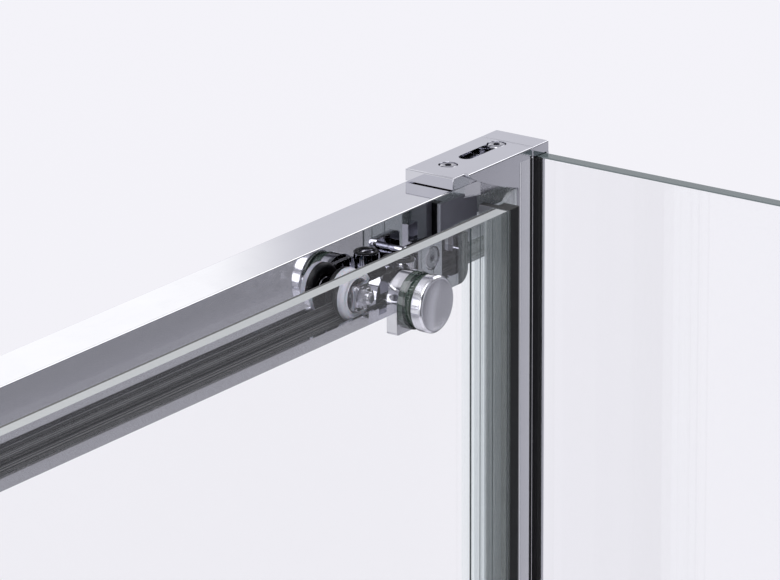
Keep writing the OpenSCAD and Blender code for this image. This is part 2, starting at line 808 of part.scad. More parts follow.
// Door guide on the floor: a fixed outer jaw and an inner jaw that folds down for cleaning
jaw_hub_wall = 1.7;
jaw_edge_r = 2;
slot_low = door_y - seal_t - jaw_gap;
slot_high = door_inner_y + seal_t + jaw_gap;
jaw_hub_d = jaw_pin_d + 2 * jaw_hub_wall;
jaw_pin_y = slot_high + inner_jaw_t + jaw_pin_d;
jaw_pin_z = floor_z + guide_base_t + jaw_hub_d / 2 + jaw_gap;
guide_end = guide_x + guide_l;
jaw_side_gap = 0.4;

module guide_base() color(satin) placed() {
    difference() {
        union() {
            block([guide_x, slot_low - outer_jaw_t, floor_z],
                [guide_end, jaw_pin_y + jaw_hub_d / 2, floor_z + guide_base_t]);
            along_y(slot_low - outer_jaw_t, slot_low) translate([guide_x, floor_z])
                soft_rect(guide_l, guide_h, jaw_edge_r);
            for (x = [guide_x, guide_end - ear_t]) {
                rod_x(jaw_hub_d, x, x + ear_t, jaw_pin_y, jaw_pin_z);
                block([x, jaw_pin_y - jaw_hub_d / 2, floor_z],
                    [x + ear_t, jaw_pin_y + jaw_hub_d / 2, jaw_pin_z]);
            }
        }
        rod_x(jaw_pin_d, guide_x - cut, guide_end + cut, jaw_pin_y, jaw_pin_z);
    }
}

module guide_pin() color(satin) placed() {
    rod_x(jaw_pin_d, guide_x, guide_end, jaw_pin_y, jaw_pin_z);
}

module guide_jaw() color(pale_plastic) placed() {
    low = guide_x + ear_t + jaw_side_gap;
    high = guide_end - ear_t - jaw_side_gap;
    difference() {
        union() {
            rod_x(jaw_hub_d, low, high, jaw_pin_y, jaw_pin_z);
            block([low, slot_high, jaw_pin_z], [high, slot_high + inner_jaw_t, floor_z + guide_h]);
            block([low, slot_high, jaw_pin_z - jaw_hub_d / 4], [high, jaw_pin_y, jaw_pin_z + jaw_hub_d / 4]);
        }
        rod_x(jaw_pin_d + 2 * running_clearance, low - cut, high + cut, jaw_pin_y, jaw_pin_z);
    }
}

// Door pane, drilled for the two clamps and the handle
module door_glass() color(pane_tint) placed() {
    difference() {
        block([door_edge, door_y, door_bottom], [door_end, door_inner_y, door_top]);
        for (x = [front_clamp_x, rear_clamp_x])
            rod_y(clamp_hole_d, door_y - cut, door_inner_y + cut, x, clamp_z);
        for (z = handle_fixings)
            rod_y(pane_hole_d, door_y - cut, door_inner_y + cut, handle_x, z);
    }
}
handle_fixings = [handle_z - fixing_pitch / 2, handle_z + fixing_pitch / 2];

// Clear seal on the leading edge, with ribs along its inner leg
module leading_seal() color(clear_pvc) placed() {
    upright(drip_top + seal_t, door_top) {
        translate([door_edge - seal_t, door_y - seal_t]) square([leading_leg + seal_t, seal_t]);
        translate([door_edge - seal_t, door_y]) square([seal_t, glass_t]);
        translate([door_edge - seal_t, door_inner_y]) square([leading_leg + seal_t, seal_t]);
        for (share = rib_places)
            translate([door_edge + share * leading_leg, door_inner_y + seal_t / 2])
                square([rib_w, seal_t / 2 + rib_h]);
    }
}
rib_places = [0.4, 0.73];
rib_w = 1.5;

// Black closing lip in front of the strike, with the magnet that faces it
module door_magnet() color(black) placed() {
    start = door_edge - lip_reach;
    upright(drip_top + seal_t, door_top) {
        translate([start, door_y - seal_t]) square([door_edge - seal_t - start, glass_t + seal_t]);
        translate([door_edge - seal_t - door_magnet_t, door_y - seal_t - door_magnet_w])
            square([door_magnet_t, door_magnet_w]);
    }
}

module trailing_seal() color(clear_pvc) placed() {
    upright(drip_top + seal_t, door_top) {
        translate([door_end - trailing_leg, door_y - seal_t]) square([trailing_leg + seal_t, seal_t]);
        translate([door_end, door_y]) square([seal_t, glass_t]);
        translate([door_end - trailing_leg, door_inner_y]) square([trailing_leg + seal_t, seal_t]);
    }
}

// Clear drip seal under the door pane, with one fin down to the threshold
module drip_seal() color(clear_pvc) placed() {
    mid = door_y + glass_t / 2;
    fin_bottom = floor_z + threshold_h + seal_t;
    along_x(door_edge, door_end) {
        for (y = [door_y - seal_t, door_inner_y]) translate([y, door_bottom]) square([seal_t, drip_leg]);
        translate([door_y - seal_t, door_bottom - 2 * seal_t]) square([glass_t + 2 * seal_t, 2 * seal_t]);
        translate([mid - seal_t, fin_bottom]) square([2 * seal_t, door_bottom - fin_bottom - seal_t]);
    }
}

// Handles: a straight bar on two posts, one on each face of the pane
module handle(face, side) {
    bar_y = face + side * (finger_gap + bar_d / 2);
    bolt_end = face + side * handle_bolt_grip;
    difference() {
        union() {
            rod_z(bar_d, handle_z - bar_l / 2, handle_z + bar_l / 2, handle_x, bar_y);
            for (z = handle_fixings) rod_y(handle_post_d, min(face, bar_y), max(face, bar_y), handle_x, z);
        }
        for (z = handle_fixings)
            rod_y(bolt_hole_d, min(face - side, bolt_end), max(face - side, bolt_end),
                handle_x, z);
    }
}
handle_bolt_grip = 10;
washer_rim = 1;
outer_handle_face = door_y - washer_t;
inner_handle_face = door_inner_y + washer_t;

module inner_handle() color(chrome) placed() handle(inner_handle_face, 1);

module outer_handle() color(chrome) placed() handle(outer_handle_face, -1);

module handle_bolts() color(satin) placed() {
    for (z = handle_fixings)
        rod_y(handle_bolt_d, outer_handle_face - handle_bolt_grip, inner_handle_face + handle_bolt_grip,
            handle_x, z);
}

module handle_washers() color(clear_pvc) placed() {
    for (z = handle_fixings, y = [outer_handle_face, door_inner_y]) difference() {
        rod_y(handle_post_d + 2 * washer_rim, y, y + washer_t, handle_x, z);
        rod_y(bolt_hole_d, y - cut, y + washer_t + cut, handle_x, z);
    }
}

// Roller carriages: the wheel runs in the track and the clamp holds the pane
carrier_y = rail_face + carrier_gap;
carrier_bottom = rail_bottom + lip_h + carrier_lift;
carrier_top = carrier_bottom + carrier_h;
collar_top = carrier_top + collar_h;
collar_y = (rail_face + back_plate_y) / 2;
carrier_edge_r = 1.5;
back_plate_edge_r = 1;

module carrier(clamp_x) {
    axle_x = clamp_x + axle_offset;
    block_end = clamp_x + carrier_reach;
    adjuster_x = clamp_x - adjuster_offset;
    arm_start = block_end - arm_h;
    arm_end = axle_x + arm_h / 2;
    difference() {
        union() {
            block([block_end - carrier_w, carrier_y, carrier_bottom], [block_end, back_plate_y, carrier_top]);
            along_y(arm_y, hex_y) translate([arm_start, wheel_z - arm_h / 2])
                soft_rect(arm_end - arm_start, arm_h, carrier_edge_r);
            rod_z(collar_d, carrier_bottom, collar_top, adjuster_x, collar_y);
        }
        rod_y(axle_d, arm_y - cut, hex_y + cut, axle_x, wheel_z);
        rod_z(adjuster_d + 2 * running_clearance, collar_top - adjuster_l, collar_top + cut,
            adjuster_x, collar_y);
    }
}

module back_plate(clamp_x) {
    difference() {
        along_y(back_plate_y, outer_gasket_y) {
            translate([clamp_x, clamp_z]) circle(d = back_plate_d);
            translate([clamp_x - back_plate_d / 2, clamp_z - back_plate_foot])
                soft_rect(back_plate_d, back_plate_foot + back_plate_edge_r, back_plate_edge_r);
        }
        rod_y(stud_d + 2 * running_clearance, back_plate_y - cut, outer_gasket_y + cut, clamp_x, clamp_z);
    }
}

// Axle: a flush head on the rail's side, the bearing seat, a hexagon and the riveted end
module axle(clamp_x) {
    x = clamp_x + axle_offset;
    rod_y(axle_head_d, wheel_y, wheel_y + axle_head_t, x, wheel_z);
    rod_y(axle_d, wheel_y, hex_y + hex_l + axle_tip_l, x, wheel_z);
    translate([x, hex_y, wheel_z]) rotate([-90, 0, 0]) cylinder(d = hex_d, h = hex_l, $fn = 6);
}
axle_head_d = 9;
axle_head_t = 0.4;

module adjuster(clamp_x) {
    translate([clamp_x - adjuster_offset, collar_y, collar_top]) difference() {
        translate([0, 0, -adjuster_l]) cylinder(d = adjuster_d, h = adjuster_l);
        translate([0, 0, -socket_depth]) cylinder(d = socket_w / cos(30), h = adjuster_l, $fn = 6);
    }
}

// Bush and gaskets that keep the clamp off the pane: a flanged bush and a flat ring
module bush(clamp_x) {
    bore = clamp_hole_d - 2 * bush_wall;
    difference() {
        union() {
            rod_y(knob_d, outer_gasket_y, door_y, clamp_x, clamp_z);
            rod_y(clamp_hole_d, outer_gasket_y, door_inner_y, clamp_x, clamp_z);
        }
        rod_y(bore, outer_gasket_y - cut, door_inner_y + cut, clamp_x, clamp_z);
    }
    difference() {
        rod_y(knob_d - 2 * ring_setback, door_inner_y, knob_y - ring_gap, clamp_x, clamp_z);
        rod_y(bore, door_inner_y - cut, knob_y + cut, clamp_x, clamp_z);
    }
}
ring_gap = 0.3;
ring_setback = 0.5;

module wheel(clamp_x) {
    x = clamp_x + axle_offset;
    bearing_y = wheel_y + (wheel_w - bearing_w) / 2;
    difference() {
        union() {
            rod_y(wheel_d, wheel_y + wheel_edge, wheel_y + wheel_w - wheel_edge, x, wheel_z);
            rod_y(wheel_d - 2 * wheel_edge, wheel_y, wheel_y + wheel_w, x, wheel_z);
        }
        rod_y(bearing_d, bearing_y, wheel_y + wheel_w + cut, x, wheel_z);
        rod_y(bearing_d - 2 * wheel_edge, wheel_y - cut, wheel_y + wheel_w, x, wheel_z);
    }
}
wheel_edge = 0.8;

module bearing(clamp_x) {
    x = clamp_x + axle_offset;
    bearing_y = wheel_y + (wheel_w - bearing_w) / 2;
    difference() {
        rod_y(bearing_d, bearing_y, bearing_y + bearing_w, x, wheel_z);
        rod_y(axle_d + 2 * running_clearance, bearing_y - cut, bearing_y + bearing_w + cut, x, wheel_z);
    }
}

// Knob with a bevelled rim, a shallow dish and a stud into the back plate
module knob(clamp_x) {
    dish_r = (knob_d * knob_d / 4) / (2 * dish_depth) + dish_depth / 2;
    translate([clamp_x, knob_y, clamp_z]) rotate([-90, 0, 0]) difference() {
        union() {
            cylinder(d = knob_d, h = knob_t - knob_bevel);
            translate([0, 0, knob_t - knob_bevel])
                cylinder(d1 = knob_d, d2 = knob_d - 2 * knob_bevel, h = knob_bevel);
            translate([0, 0, back_plate_y - knob_y]) cylinder(d = stud_d, h = knob_y - back_plate_y + lap);
        }
        intersection() {
            translate([0, 0, knob_t - dish_depth + dish_r]) sphere(dish_r, $fn = 128);
            cylinder(d = knob_d - 4 * knob_bevel, h = knob_t + cut);
        }
        translate([-knob_d / 2 - cut, -notch_w / 2, knob_t - notch_l])
            cube([cut + notch_depth, notch_w, notch_l + cut]);
    }
}

module front_carrier() color(chrome) placed() carrier(front_clamp_x);
module front_back_plate() color(chrome) placed() back_plate(front_clamp_x);
module front_axle() color(satin) placed() axle(front_clamp_x);
module front_adjuster() color(satin) placed() adjuster(front_clamp_x);
module front_bush() color(black) placed() bush(front_clamp_x);
module front_wheel() color(pale_plastic) placed() wheel(front_clamp_x);
module front_bearing() color(satin) placed() bearing(front_clamp_x);
module front_knob() color(satin) placed() knob(front_clamp_x);
module rear_carrier() color(chrome) placed() carrier(rear_clamp_x);
module rear_back_plate() color(chrome) placed() back_plate(rear_clamp_x);
module rear_axle() color(satin) placed() axle(rear_clamp_x);
module rear_adjuster() color(satin) placed() adjuster(rear_clamp_x);
module rear_bush() color(black) placed() bush(rear_clamp_x);
module rear_wheel() color(pale_plastic) placed() wheel(rear_clamp_x);
module rear_bearing() color(satin) placed() bearing(rear_clamp_x);
module rear_knob() color(satin) placed() knob(rear_clamp_x);

corner_post();
side_channel();
corner_bracket();
channel_cap();
bracket_screws();
rail_corner_plug();
header_rail();
track_end_cap();
closing_stop();
opening_stop();
stop_screws();
rail_wall_plug();
plug_screw();
front_wall_channel();
side_wall_channel();
side_glass();
corner_gasket();
side_gaskets();
side_sill();
fixed_glass();
glazing_channel();
fixed_gaskets();
fixed_sill();
fixed_edge_seal();
strike_profile();
strike_magnet();
strike_cap();
threshold();
guide_base();
guide_pin();
guide_jaw();
door_glass();
leading_seal();
door_magnet();
trailing_seal();
drip_seal();
inner_handle();
outer_handle();
handle_bolts();
handle_washers();
front_carrier();
front_back_plate();
front_axle();
front_adjuster();
front_bush();
front_wheel();
front_bearing();
front_knob();
rear_carrier();
rear_back_plate();
rear_axle();
rear_adjuster();
rear_bush();
rear_wheel();
rear_bearing();
rear_knob();
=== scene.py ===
import math

import bmesh
import bpy
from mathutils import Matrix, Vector


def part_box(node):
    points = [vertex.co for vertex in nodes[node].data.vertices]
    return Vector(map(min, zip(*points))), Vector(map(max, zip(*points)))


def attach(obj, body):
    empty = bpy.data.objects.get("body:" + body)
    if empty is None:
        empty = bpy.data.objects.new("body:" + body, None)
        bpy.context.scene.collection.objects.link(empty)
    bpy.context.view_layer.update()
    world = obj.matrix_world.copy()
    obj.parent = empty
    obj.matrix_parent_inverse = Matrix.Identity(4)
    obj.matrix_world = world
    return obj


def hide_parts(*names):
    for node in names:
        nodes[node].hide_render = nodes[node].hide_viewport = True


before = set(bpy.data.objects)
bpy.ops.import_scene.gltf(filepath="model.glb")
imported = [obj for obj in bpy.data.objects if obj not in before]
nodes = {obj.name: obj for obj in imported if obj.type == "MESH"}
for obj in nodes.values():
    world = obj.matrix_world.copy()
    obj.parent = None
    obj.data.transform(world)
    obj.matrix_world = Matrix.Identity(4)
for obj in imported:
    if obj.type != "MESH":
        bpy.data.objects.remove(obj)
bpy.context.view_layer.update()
mm = 0.001


# camera: above and inside the corner, where the photograph was taken
cameraSetup = {
    "place": (1.45612, 1.00724, 2.71335),  # metres
    "turn": (71.6333, 0.1817, 125.2563),  # degrees
    "lens": 318.266, "sensor": 36.0,  # millimetres
    "nearest": 0.05, "farthest": 60,  # metres
}
cameraData = bpy.data.cameras.new("cornerCamera")
cameraData.lens = cameraSetup["lens"]
cameraData.sensor_width = cameraSetup["sensor"]
cameraData.clip_start = cameraSetup["nearest"]
cameraData.clip_end = cameraSetup["farthest"]
camera = bpy.data.objects.new("cornerCamera", cameraData)
camera.location = cameraSetup["place"]
camera.rotation_euler = [math.radians(a) for a in cameraSetup["turn"]]
bpy.context.scene.collection.objects.link(camera)
bpy.context.scene.camera = camera
bpy.context.scene.view_settings.view_transform = "Standard"
print("camera ready")


# colours and nodes
def linear(hexColour):
    # sRGB hex to the linear colour that a shader takes
    parts = [int(hexColour[i:i + 2], 16) / 255 for i in (1, 3, 5)]
    return tuple(c / 12.92 if c <= 0.04045 else ((c + 0.055) / 1.055) ** 2.4 for c in parts) + (1.0,)


def addNode(tree, kind, settings=None, links=None):
    node = tree.nodes.new(kind)
    for key, value in (settings or {}).items():
        if key == "stops":
            marks = node.color_ramp.elements
            marks.remove(marks[1])
            marks[0].position, marks[0].color = value[0][0], linear(value[0][1])
            for place, colour in value[1:]:
                marks.new(place).color = linear(colour)
        elif isinstance(key, str) and hasattr(node, key) and key not in node.inputs:
            setattr(node, key, value)
        else:
            node.inputs[key].default_value = value
    for key, source in (links or {}).items():
        tree.links.new(source, node.inputs[key])
    return node


def newMaterial(name):
    material = bpy.data.materials.new(name)
    material.use_nodes = True
    material.node_tree.nodes.clear()
    return material, material.node_tree


def grainCoordinates(tree, grainMm, across=(1, 1, 1)):
    # object coordinates in grains of this size, long along the way the piece was drawn
    place = addNode(tree, "ShaderNodeTexCoord")
    return addNode(tree, "ShaderNodeMapping", {"Scale": [a / grainMm / mm for a in across]},
                   {"Vector": place.outputs["Object"]}).outputs[0]


def ringCoordinates(tree, axis):
    # millimetres from the axis that a piece was turned about
    place = addNode(tree, "ShaderNodeTexCoord")
    flat = addNode(tree, "ShaderNodeVectorMath",
                   {"operation": "MULTIPLY", 1: [0 if i == axis else 1 / mm for i in range(3)]},
                   {0: place.outputs["Object"]})
    return addNode(tree, "ShaderNodeVectorMath", {"operation": "LENGTH"},
                   {0: flat.outputs[0]}).outputs["Value"]


noiseSpan = {"From Min": 0.3, "From Max": 0.7}  # nearly all values of a noise lie in here


# metals
def metalMaterial(name, look):
    # a mirror or satin metal: fine drawing or turning lines, a slow waviness that bends
    # reflections a little, and faint handling smears in its tone and gloss
    material, tree = newMaterial(name)
    if "turnedAbout" in look:
        lines = addNode(tree, "ShaderNodeTexNoise", {"noise_dimensions": "1D", "Detail": 3.0,
                                                     "Roughness": 0.6, "Scale": 1 / look["lineMm"]},
                        {"W": ringCoordinates(tree, look["turnedAbout"])})
    else:
        lines = addNode(tree, "ShaderNodeTexNoise", {"Scale": 1.0, "Detail": 3.0, "Roughness": 0.6},
                        {"Vector": grainCoordinates(tree, look["lineMm"], look["across"])})
    smears = addNode(tree, "ShaderNodeTexNoise", {"Scale": 1.0, "Detail": 4.0, "Distortion": 0.6},
                     {"Vector": grainCoordinates(tree, look["smearMm"])})
    wave = addNode(tree, "ShaderNodeTexNoise", {"Scale": 1.0, "Detail": 1.0},
                   {"Vector": grainCoordinates(tree, look["waveMm"])})
    lineGloss = addNode(tree, "ShaderNodeMapRange",
                        {**noiseSpan, "To Min": look["rough"][0], "To Max": look["rough"][1]},
                        {"Value": lines.outputs["Fac"]})
    # only the thickest of the smears dull the metal
    smearGloss = addNode(tree, "ShaderNodeMapRange",
                         {"From Min": 0.52, "From Max": 0.75, "To Max": look["smear"]},
                         {"Value": smears.outputs["Fac"]})
    gloss = addNode(tree, "ShaderNodeMath", {"operation": "ADD"},
                    {0: lineGloss.outputs[0], 1: smearGloss.outputs[0]})
    tone = addNode(tree, "ShaderNodeMix", {"data_type": "RGBA", 6: linear(look["colour"][0]),
                                           7: linear(look["colour"][1])},
                   {0: smears.outputs["Fac"]})
    colour = tone.outputs[2]
    if "track" in look:
        # painted shade and painted highlights along the floor and the lower wall of the track: near-black
        # stripes with thin bright lines, and the metal turns dull under the bright ones
        track = look["track"]
        place = addNode(tree, "ShaderNodeNewGeometry")
        spot = addNode(tree, "ShaderNodeSeparateXYZ", None, {0: place.outputs["Position"]})
        inside = [addNode(tree, "ShaderNodeMath",
                          {"operation": "COMPARE", 1: (low + high) / 2, 2: (high - low) / 2},
                          {0: spot.outputs[letter]})
                  for letter, (low, high) in (("Y", track["across"]), ("Z", track["up"]))]
        isTrack = addNode(tree, "ShaderNodeMath", {"operation": "MULTIPLY"},
                          {0: inside[0].outputs[0], 1: inside[1].outputs[0]})
        profile = addNode(tree, "ShaderNodeMath", {"operation": "SUBTRACT"},
                          {0: spot.outputs["Y"], 1: spot.outputs["Z"]})
        paintedLines = addNode(tree, "ShaderNodeTexNoise", {"noise_dimensions": "1D", "Detail": 2.0,
                                                        "Scale": 1 / (track["lineMm"] * mm)},
                           {"W": profile.outputs[0]})
        dark = addNode(tree, "ShaderNodeValToRGB", {"stops": track["paintedTones"]},
                       {0: paintedLines.outputs["Fac"]})
        colour = addNode(tree, "ShaderNodeMix", {"data_type": "RGBA"},
                         {0: isTrack.outputs[0], 6: colour, 7: dark.outputs[0]}).outputs[2]
        highlightShare = addNode(tree, "ShaderNodeMath", {"operation": "MULTIPLY"},
                       {0: isTrack.outputs[0], 1: dark.outputs[0]})
        bare = addNode(tree, "ShaderNodeMath", {"operation": "SUBTRACT", 0: 1.0}, {1: highlightShare.outputs[0]})
    slow = addNode(tree, "ShaderNodeBump", {"Strength": 1.0, "Distance": look["waveDepth"] * mm},
                   {"Height": wave.outputs["Fac"]})
    fine = addNode(tree, "ShaderNodeBump", {"Strength": 1.0, "Distance": look["lineDepth"] * mm},
                   {"Height": lines.outputs["Fac"], "Normal": slow.outputs[0]})
    surface = addNode(tree, "ShaderNodeBsdfPrincipled", {"Metallic": look.get("metal", 1.0)},
                      {"Base Color": colour, "Roughness": gloss.outputs[0], "Normal": fine.outputs[0]})
    if "track" in look:
        tree.links.new(bare.outputs[0], surface.inputs["Metallic"])
    addNode(tree, "ShaderNodeOutputMaterial", None, {"Surface": surface.outputs[0]})
    return material


metalLooks = {
    # bright-dipped, clear-anodised aluminium extrusion: a grey mirror with the faintest die lines
    "brightAluminiumAlongRail": {"colour": ("#DEDEE3", "#D6D6DC"), "across": (0.02, 1, 1), "lineMm": 0.8,
                                 "rough": (0.02, 0.05), "smearMm": 22, "smear": 0.03,
                                 "waveMm": 60, "waveDepth": 0.012, "lineDepth": 0.0004},
    "brightAluminiumUpright": {"colour": ("#E6E6EB", "#DFDFE5"), "across": (1, 1, 0.02), "lineMm": 0.8,
                               "rough": (0.02, 0.05), "smearMm": 22, "smear": 0.03,
                               "waveMm": 60, "waveDepth": 0.012, "lineDepth": 0.0004},
    # bright chrome on cast zinc: deep mirror, a slow orange peel from the casting
    "chromePlatedZinc": {"colour": ("#D4D4DA", "#CACAD1"), "across": (1, 1, 1), "lineMm": 3.0,
                         "rough": (0.015, 0.04), "smearMm": 12, "smear": 0.03,
                         "waveMm": 12, "waveDepth": 0.004, "lineDepth": 0.0003},
    # painted shade: the same chrome on the broad bracket, a touch greyer where it meets the daylight
    "chromeBracket": {"colour": ("#D2D2D9", "#CCCCD3"), "across": (1, 1, 1), "lineMm": 3.0,
                      "rough": (0.02, 0.05), "smearMm": 12, "smear": 0.03,
                      "waveMm": 20, "waveDepth": 0.003, "lineDepth": 0.0003},
    # etched and anodised profile: part mirror, part pale grey skin, so it never turns black
    "etchedAluminium": {"colour": ("#B8B8BE", "#ACACB3"), "metal": 0.3, "across": (1, 1, 0.02), "lineMm": 0.5,
                        "rough": (0.14, 0.24), "smearMm": 14, "smear": 0.04,
                        "waveMm": 20, "waveDepth": 0.004, "lineDepth": 0.001},
    # satin chrome on cast or milled blocks: soft grey sheen
    "satinChrome": {"colour": ("#CFCFD6", "#C2C2CA"), "across": (1, 1, 1), "lineMm": 0.6,
                    "rough": (0.20, 0.30), "smearMm": 9, "smear": 0.05,
                    "waveMm": 12, "waveDepth": 0.004, "lineDepth": 0.001},
    # chrome knob turned on a lathe: fine rings round its axis, a soft sheen in the dish
    "turnedChrome": {"colour": ("#DFDFE5", "#D6D6DD"), "turnedAbout": 1, "lineMm": 0.35,
                     "rough": (0.10, 0.20), "smearMm": 14, "smear": 0.04,
                     "waveMm": 30, "waveDepth": 0.002, "lineDepth": 0.0012},
    # stainless steel screws and axles: bright, slightly tumbled
    "stainlessSteel": {"colour": ("#B9B9C0", "#A4A4AB"), "across": (1, 1, 1), "lineMm": 0.8,
                       "rough": (0.08, 0.16), "smearMm": 4, "smear": 0.05,
                       "waveMm": 6, "waveDepth": 0.003, "lineDepth": 0.001},
}
# the rail's own aluminium, with painted shade and painted highlights in the track: its reach in millimetres
# from the rail's inner side, where the lip is left plain, and from the rail's underside
paintedTrackShade = {
    "inwards": (11.2, 1.55), "upwards": (0.3, 8.8), "lineMm": 1.3,
    "paintedTones": [(0.0, "#09090B"), (0.36, "#141417"), (0.39, "#E0E0E6"), (0.41, "#121214"), (0.48, "#3C3C42"),
              (0.51, "#0C0C0E"), (0.56, "#D4D4DA"), (0.575, "#0E0E10"), (0.63, "#1C1C20"), (0.66, "#ACACB3"),
              (0.68, "#0B0B0D"), (1.0, "#1A1A1D")],
}
railLow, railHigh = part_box("header_rail")
paintedTrackShade["across"] = [railHigh[1] - reach * mm for reach in paintedTrackShade["inwards"]]
paintedTrackShade["up"] = [railLow[2] + reach * mm for reach in paintedTrackShade["upwards"]]
metalLooks["railWithPaintedTrack"] = dict(metalLooks["brightAluminiumAlongRail"], track=paintedTrackShade)
metals = {name: metalMaterial(name, look) for name, look in metalLooks.items()}
print("metals ready:", len(metals))


# glass
def glassMaterial(name, look):
    # toughened float glass: colourless across its faces, grey where the ground edge gathers
    # the light that runs inside the sheet
    material, tree = newMaterial(name)
    pane = addNode(tree, "ShaderNodeBsdfPrincipled",
                   {"Base Color": linear(look["body"]), "Roughness": 0.0, "IOR": look["ior"],
                    "Specular IOR Level": look["shine"], "Transmission Weight": 1.0})
    ground = addNode(tree, "ShaderNodeTexNoise", {"Scale": 1.0, "Detail": 5.0},
                     {"Vector": grainCoordinates(tree, look["grindMm"])})
    edgeTone = addNode(tree, "ShaderNodeMix", {"data_type": "RGBA", 6: linear(look["edge"][0]),
                                               7: linear(look["edge"][1])},
                       {0: ground.outputs["Fac"]})
    edgeBump = addNode(tree, "ShaderNodeBump",
                       {"Strength": look["grindBump"], "Distance": look["grindDepth"] * mm},
                       {"Height": ground.outputs["Fac"]})
    # painted shade: the polished outer arris is painted near black for the dark inside of the sheet that it
    # looks into, and the edge where it stands upright is painted dark grey for the same
    place = addNode(tree, "ShaderNodeNewGeometry")
    spot = addNode(tree, "ShaderNodeSeparateXYZ", None, {0: place.outputs["Position"]})
    isOuter = addNode(tree, "ShaderNodeMath",
                      {"operation": "LESS_THAN", 1: look["outerFace"] + look["arrisMm"] * mm},
                      {0: spot.outputs[look["axis"]]})
    apart = addNode(tree, "ShaderNodeSeparateXYZ", None, {0: place.outputs["True Normal"]})
    isUpright = addNode(tree, "ShaderNodeMath",
                        {"operation": "COMPARE", 1: 0.0, 2: look["uprightLimit"]}, {0: apart.outputs["Z"]})
    uprightOrTop = addNode(tree, "ShaderNodeMix", {"data_type": "RGBA", 7: linear(look["upright"])},
                           {0: isUpright.outputs[0], 6: edgeTone.outputs[2]})
    edgeColour = addNode(tree, "ShaderNodeMix", {"data_type": "RGBA", 7: linear(look["arris"])},
                         {0: isOuter.outputs[0], 6: uprightOrTop.outputs[2]})
    edge = addNode(tree, "ShaderNodeBsdfPrincipled", {"Roughness": look["edgeRough"], "IOR": look["ior"]},
                   {"Base Color": edgeColour.outputs[2], "Normal": edgeBump.outputs[0]})
    across = addNode(tree, "ShaderNodeMath", {"operation": "ABSOLUTE"}, {0: apart.outputs[look["axis"]]})
    isEdge = addNode(tree, "ShaderNodeMath", {"operation": "LESS_THAN", 1: look["faceLimit"]},
                     {0: across.outputs[0]})
    whole = addNode(tree, "ShaderNodeMixShader", None, {0: isEdge.outputs[0], 1: pane.outputs[0],
                                                        2: edge.outputs[0]})
    ray = addNode(tree, "ShaderNodeLightPath")
    clear = addNode(tree, "ShaderNodeBsdfTransparent", {"Color": linear(look["shade"])})
    lamps = addNode(tree, "ShaderNodeMixShader", None, {0: ray.outputs["Is Shadow Ray"],
                                                        1: whole.outputs[0], 2: clear.outputs[0]})
    addNode(tree, "ShaderNodeOutputMaterial", None, {"Surface": lamps.outputs[0]})
    return material


glassLook = {
    "body": "#FFFFFF", "shade": "#F4F7F6", "ior": 1.5, "shine": 0.08,
    "edge": ("#A2A4A6", "#969A9C"), "edgeRough": 0.22,
    "grindMm": 1.6, "grindDepth": 0.01, "grindBump": 0.4,
    "upright": "#1C1F21", "arris": "#0C0E0F", "arrisMm": 1.2,
    # how far a unit normal may lean before it is no longer a pane's face, or an upright edge
    "faceLimit": 0.8, "uprightLimit": 0.3,
}
glassAlongRail = {name: glassMaterial(name + "Toughened",
                                      dict(glassLook, axis=1, outerFace=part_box(name)[0][1]))
                  for name in ("door_glass", "fixed_glass")}
# painted shade on the side pane's top edge, which is seen along the sheet: darker, a little greener, with no
# arris
sidePaneGlass = glassMaterial("side_glassToughened",
                              dict(glassLook, axis=0, body="#F7F7F8", edge=("#5E6769", "#545D5F"),
                                   arrisMm=-1, outerFace=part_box("side_glass")[0][0]))
print("glass ready")


# rubber and plastics
def softMaterial(name, look):
    # moulded rubber or plastic: a fine skin with cloudy tone and gloss
    material, tree = newMaterial(name)
    skin = addNode(tree, "ShaderNodeTexNoise", {"Scale": 1.0, "Detail": 4.0, "Roughness": 0.6},
                   {"Vector": grainCoordinates(tree, look["grainMm"])})
    cloud = addNode(tree, "ShaderNodeTexNoise", {"Scale": 1.0, "Detail": 2.0},
                    {"Vector": grainCoordinates(tree, look["cloudMm"])})
    tone = addNode(tree, "ShaderNodeMix", {"data_type": "RGBA", 6: linear(look["colour"][0]),
                                           7: linear(look["colour"][1])},
                   {0: cloud.outputs["Fac"]})
    gloss = addNode(tree, "ShaderNodeMapRange",
                    {**noiseSpan, "To Min": look["rough"][0], "To Max": look["rough"][1]},
                    {"Value": skin.outputs["Fac"]})
    bump = addNode(tree, "ShaderNodeBump", {"Strength": 1.0, "Distance": look["grainDepth"] * mm},
                   {"Height": skin.outputs["Fac"]})
    surface = addNode(tree, "ShaderNodeBsdfPrincipled",
                      {"IOR": look["ior"], "Subsurface Weight": look.get("milk", 0.0),
                       "Subsurface Scale": 1.5 * mm},  # how far light soaks in
                      {"Base Color": tone.outputs[2], "Roughness": gloss.outputs[0],
                       "Normal": bump.outputs[0]})
    addNode(tree, "ShaderNodeOutputMaterial", None, {"Surface": surface.outputs[0]})
    return material


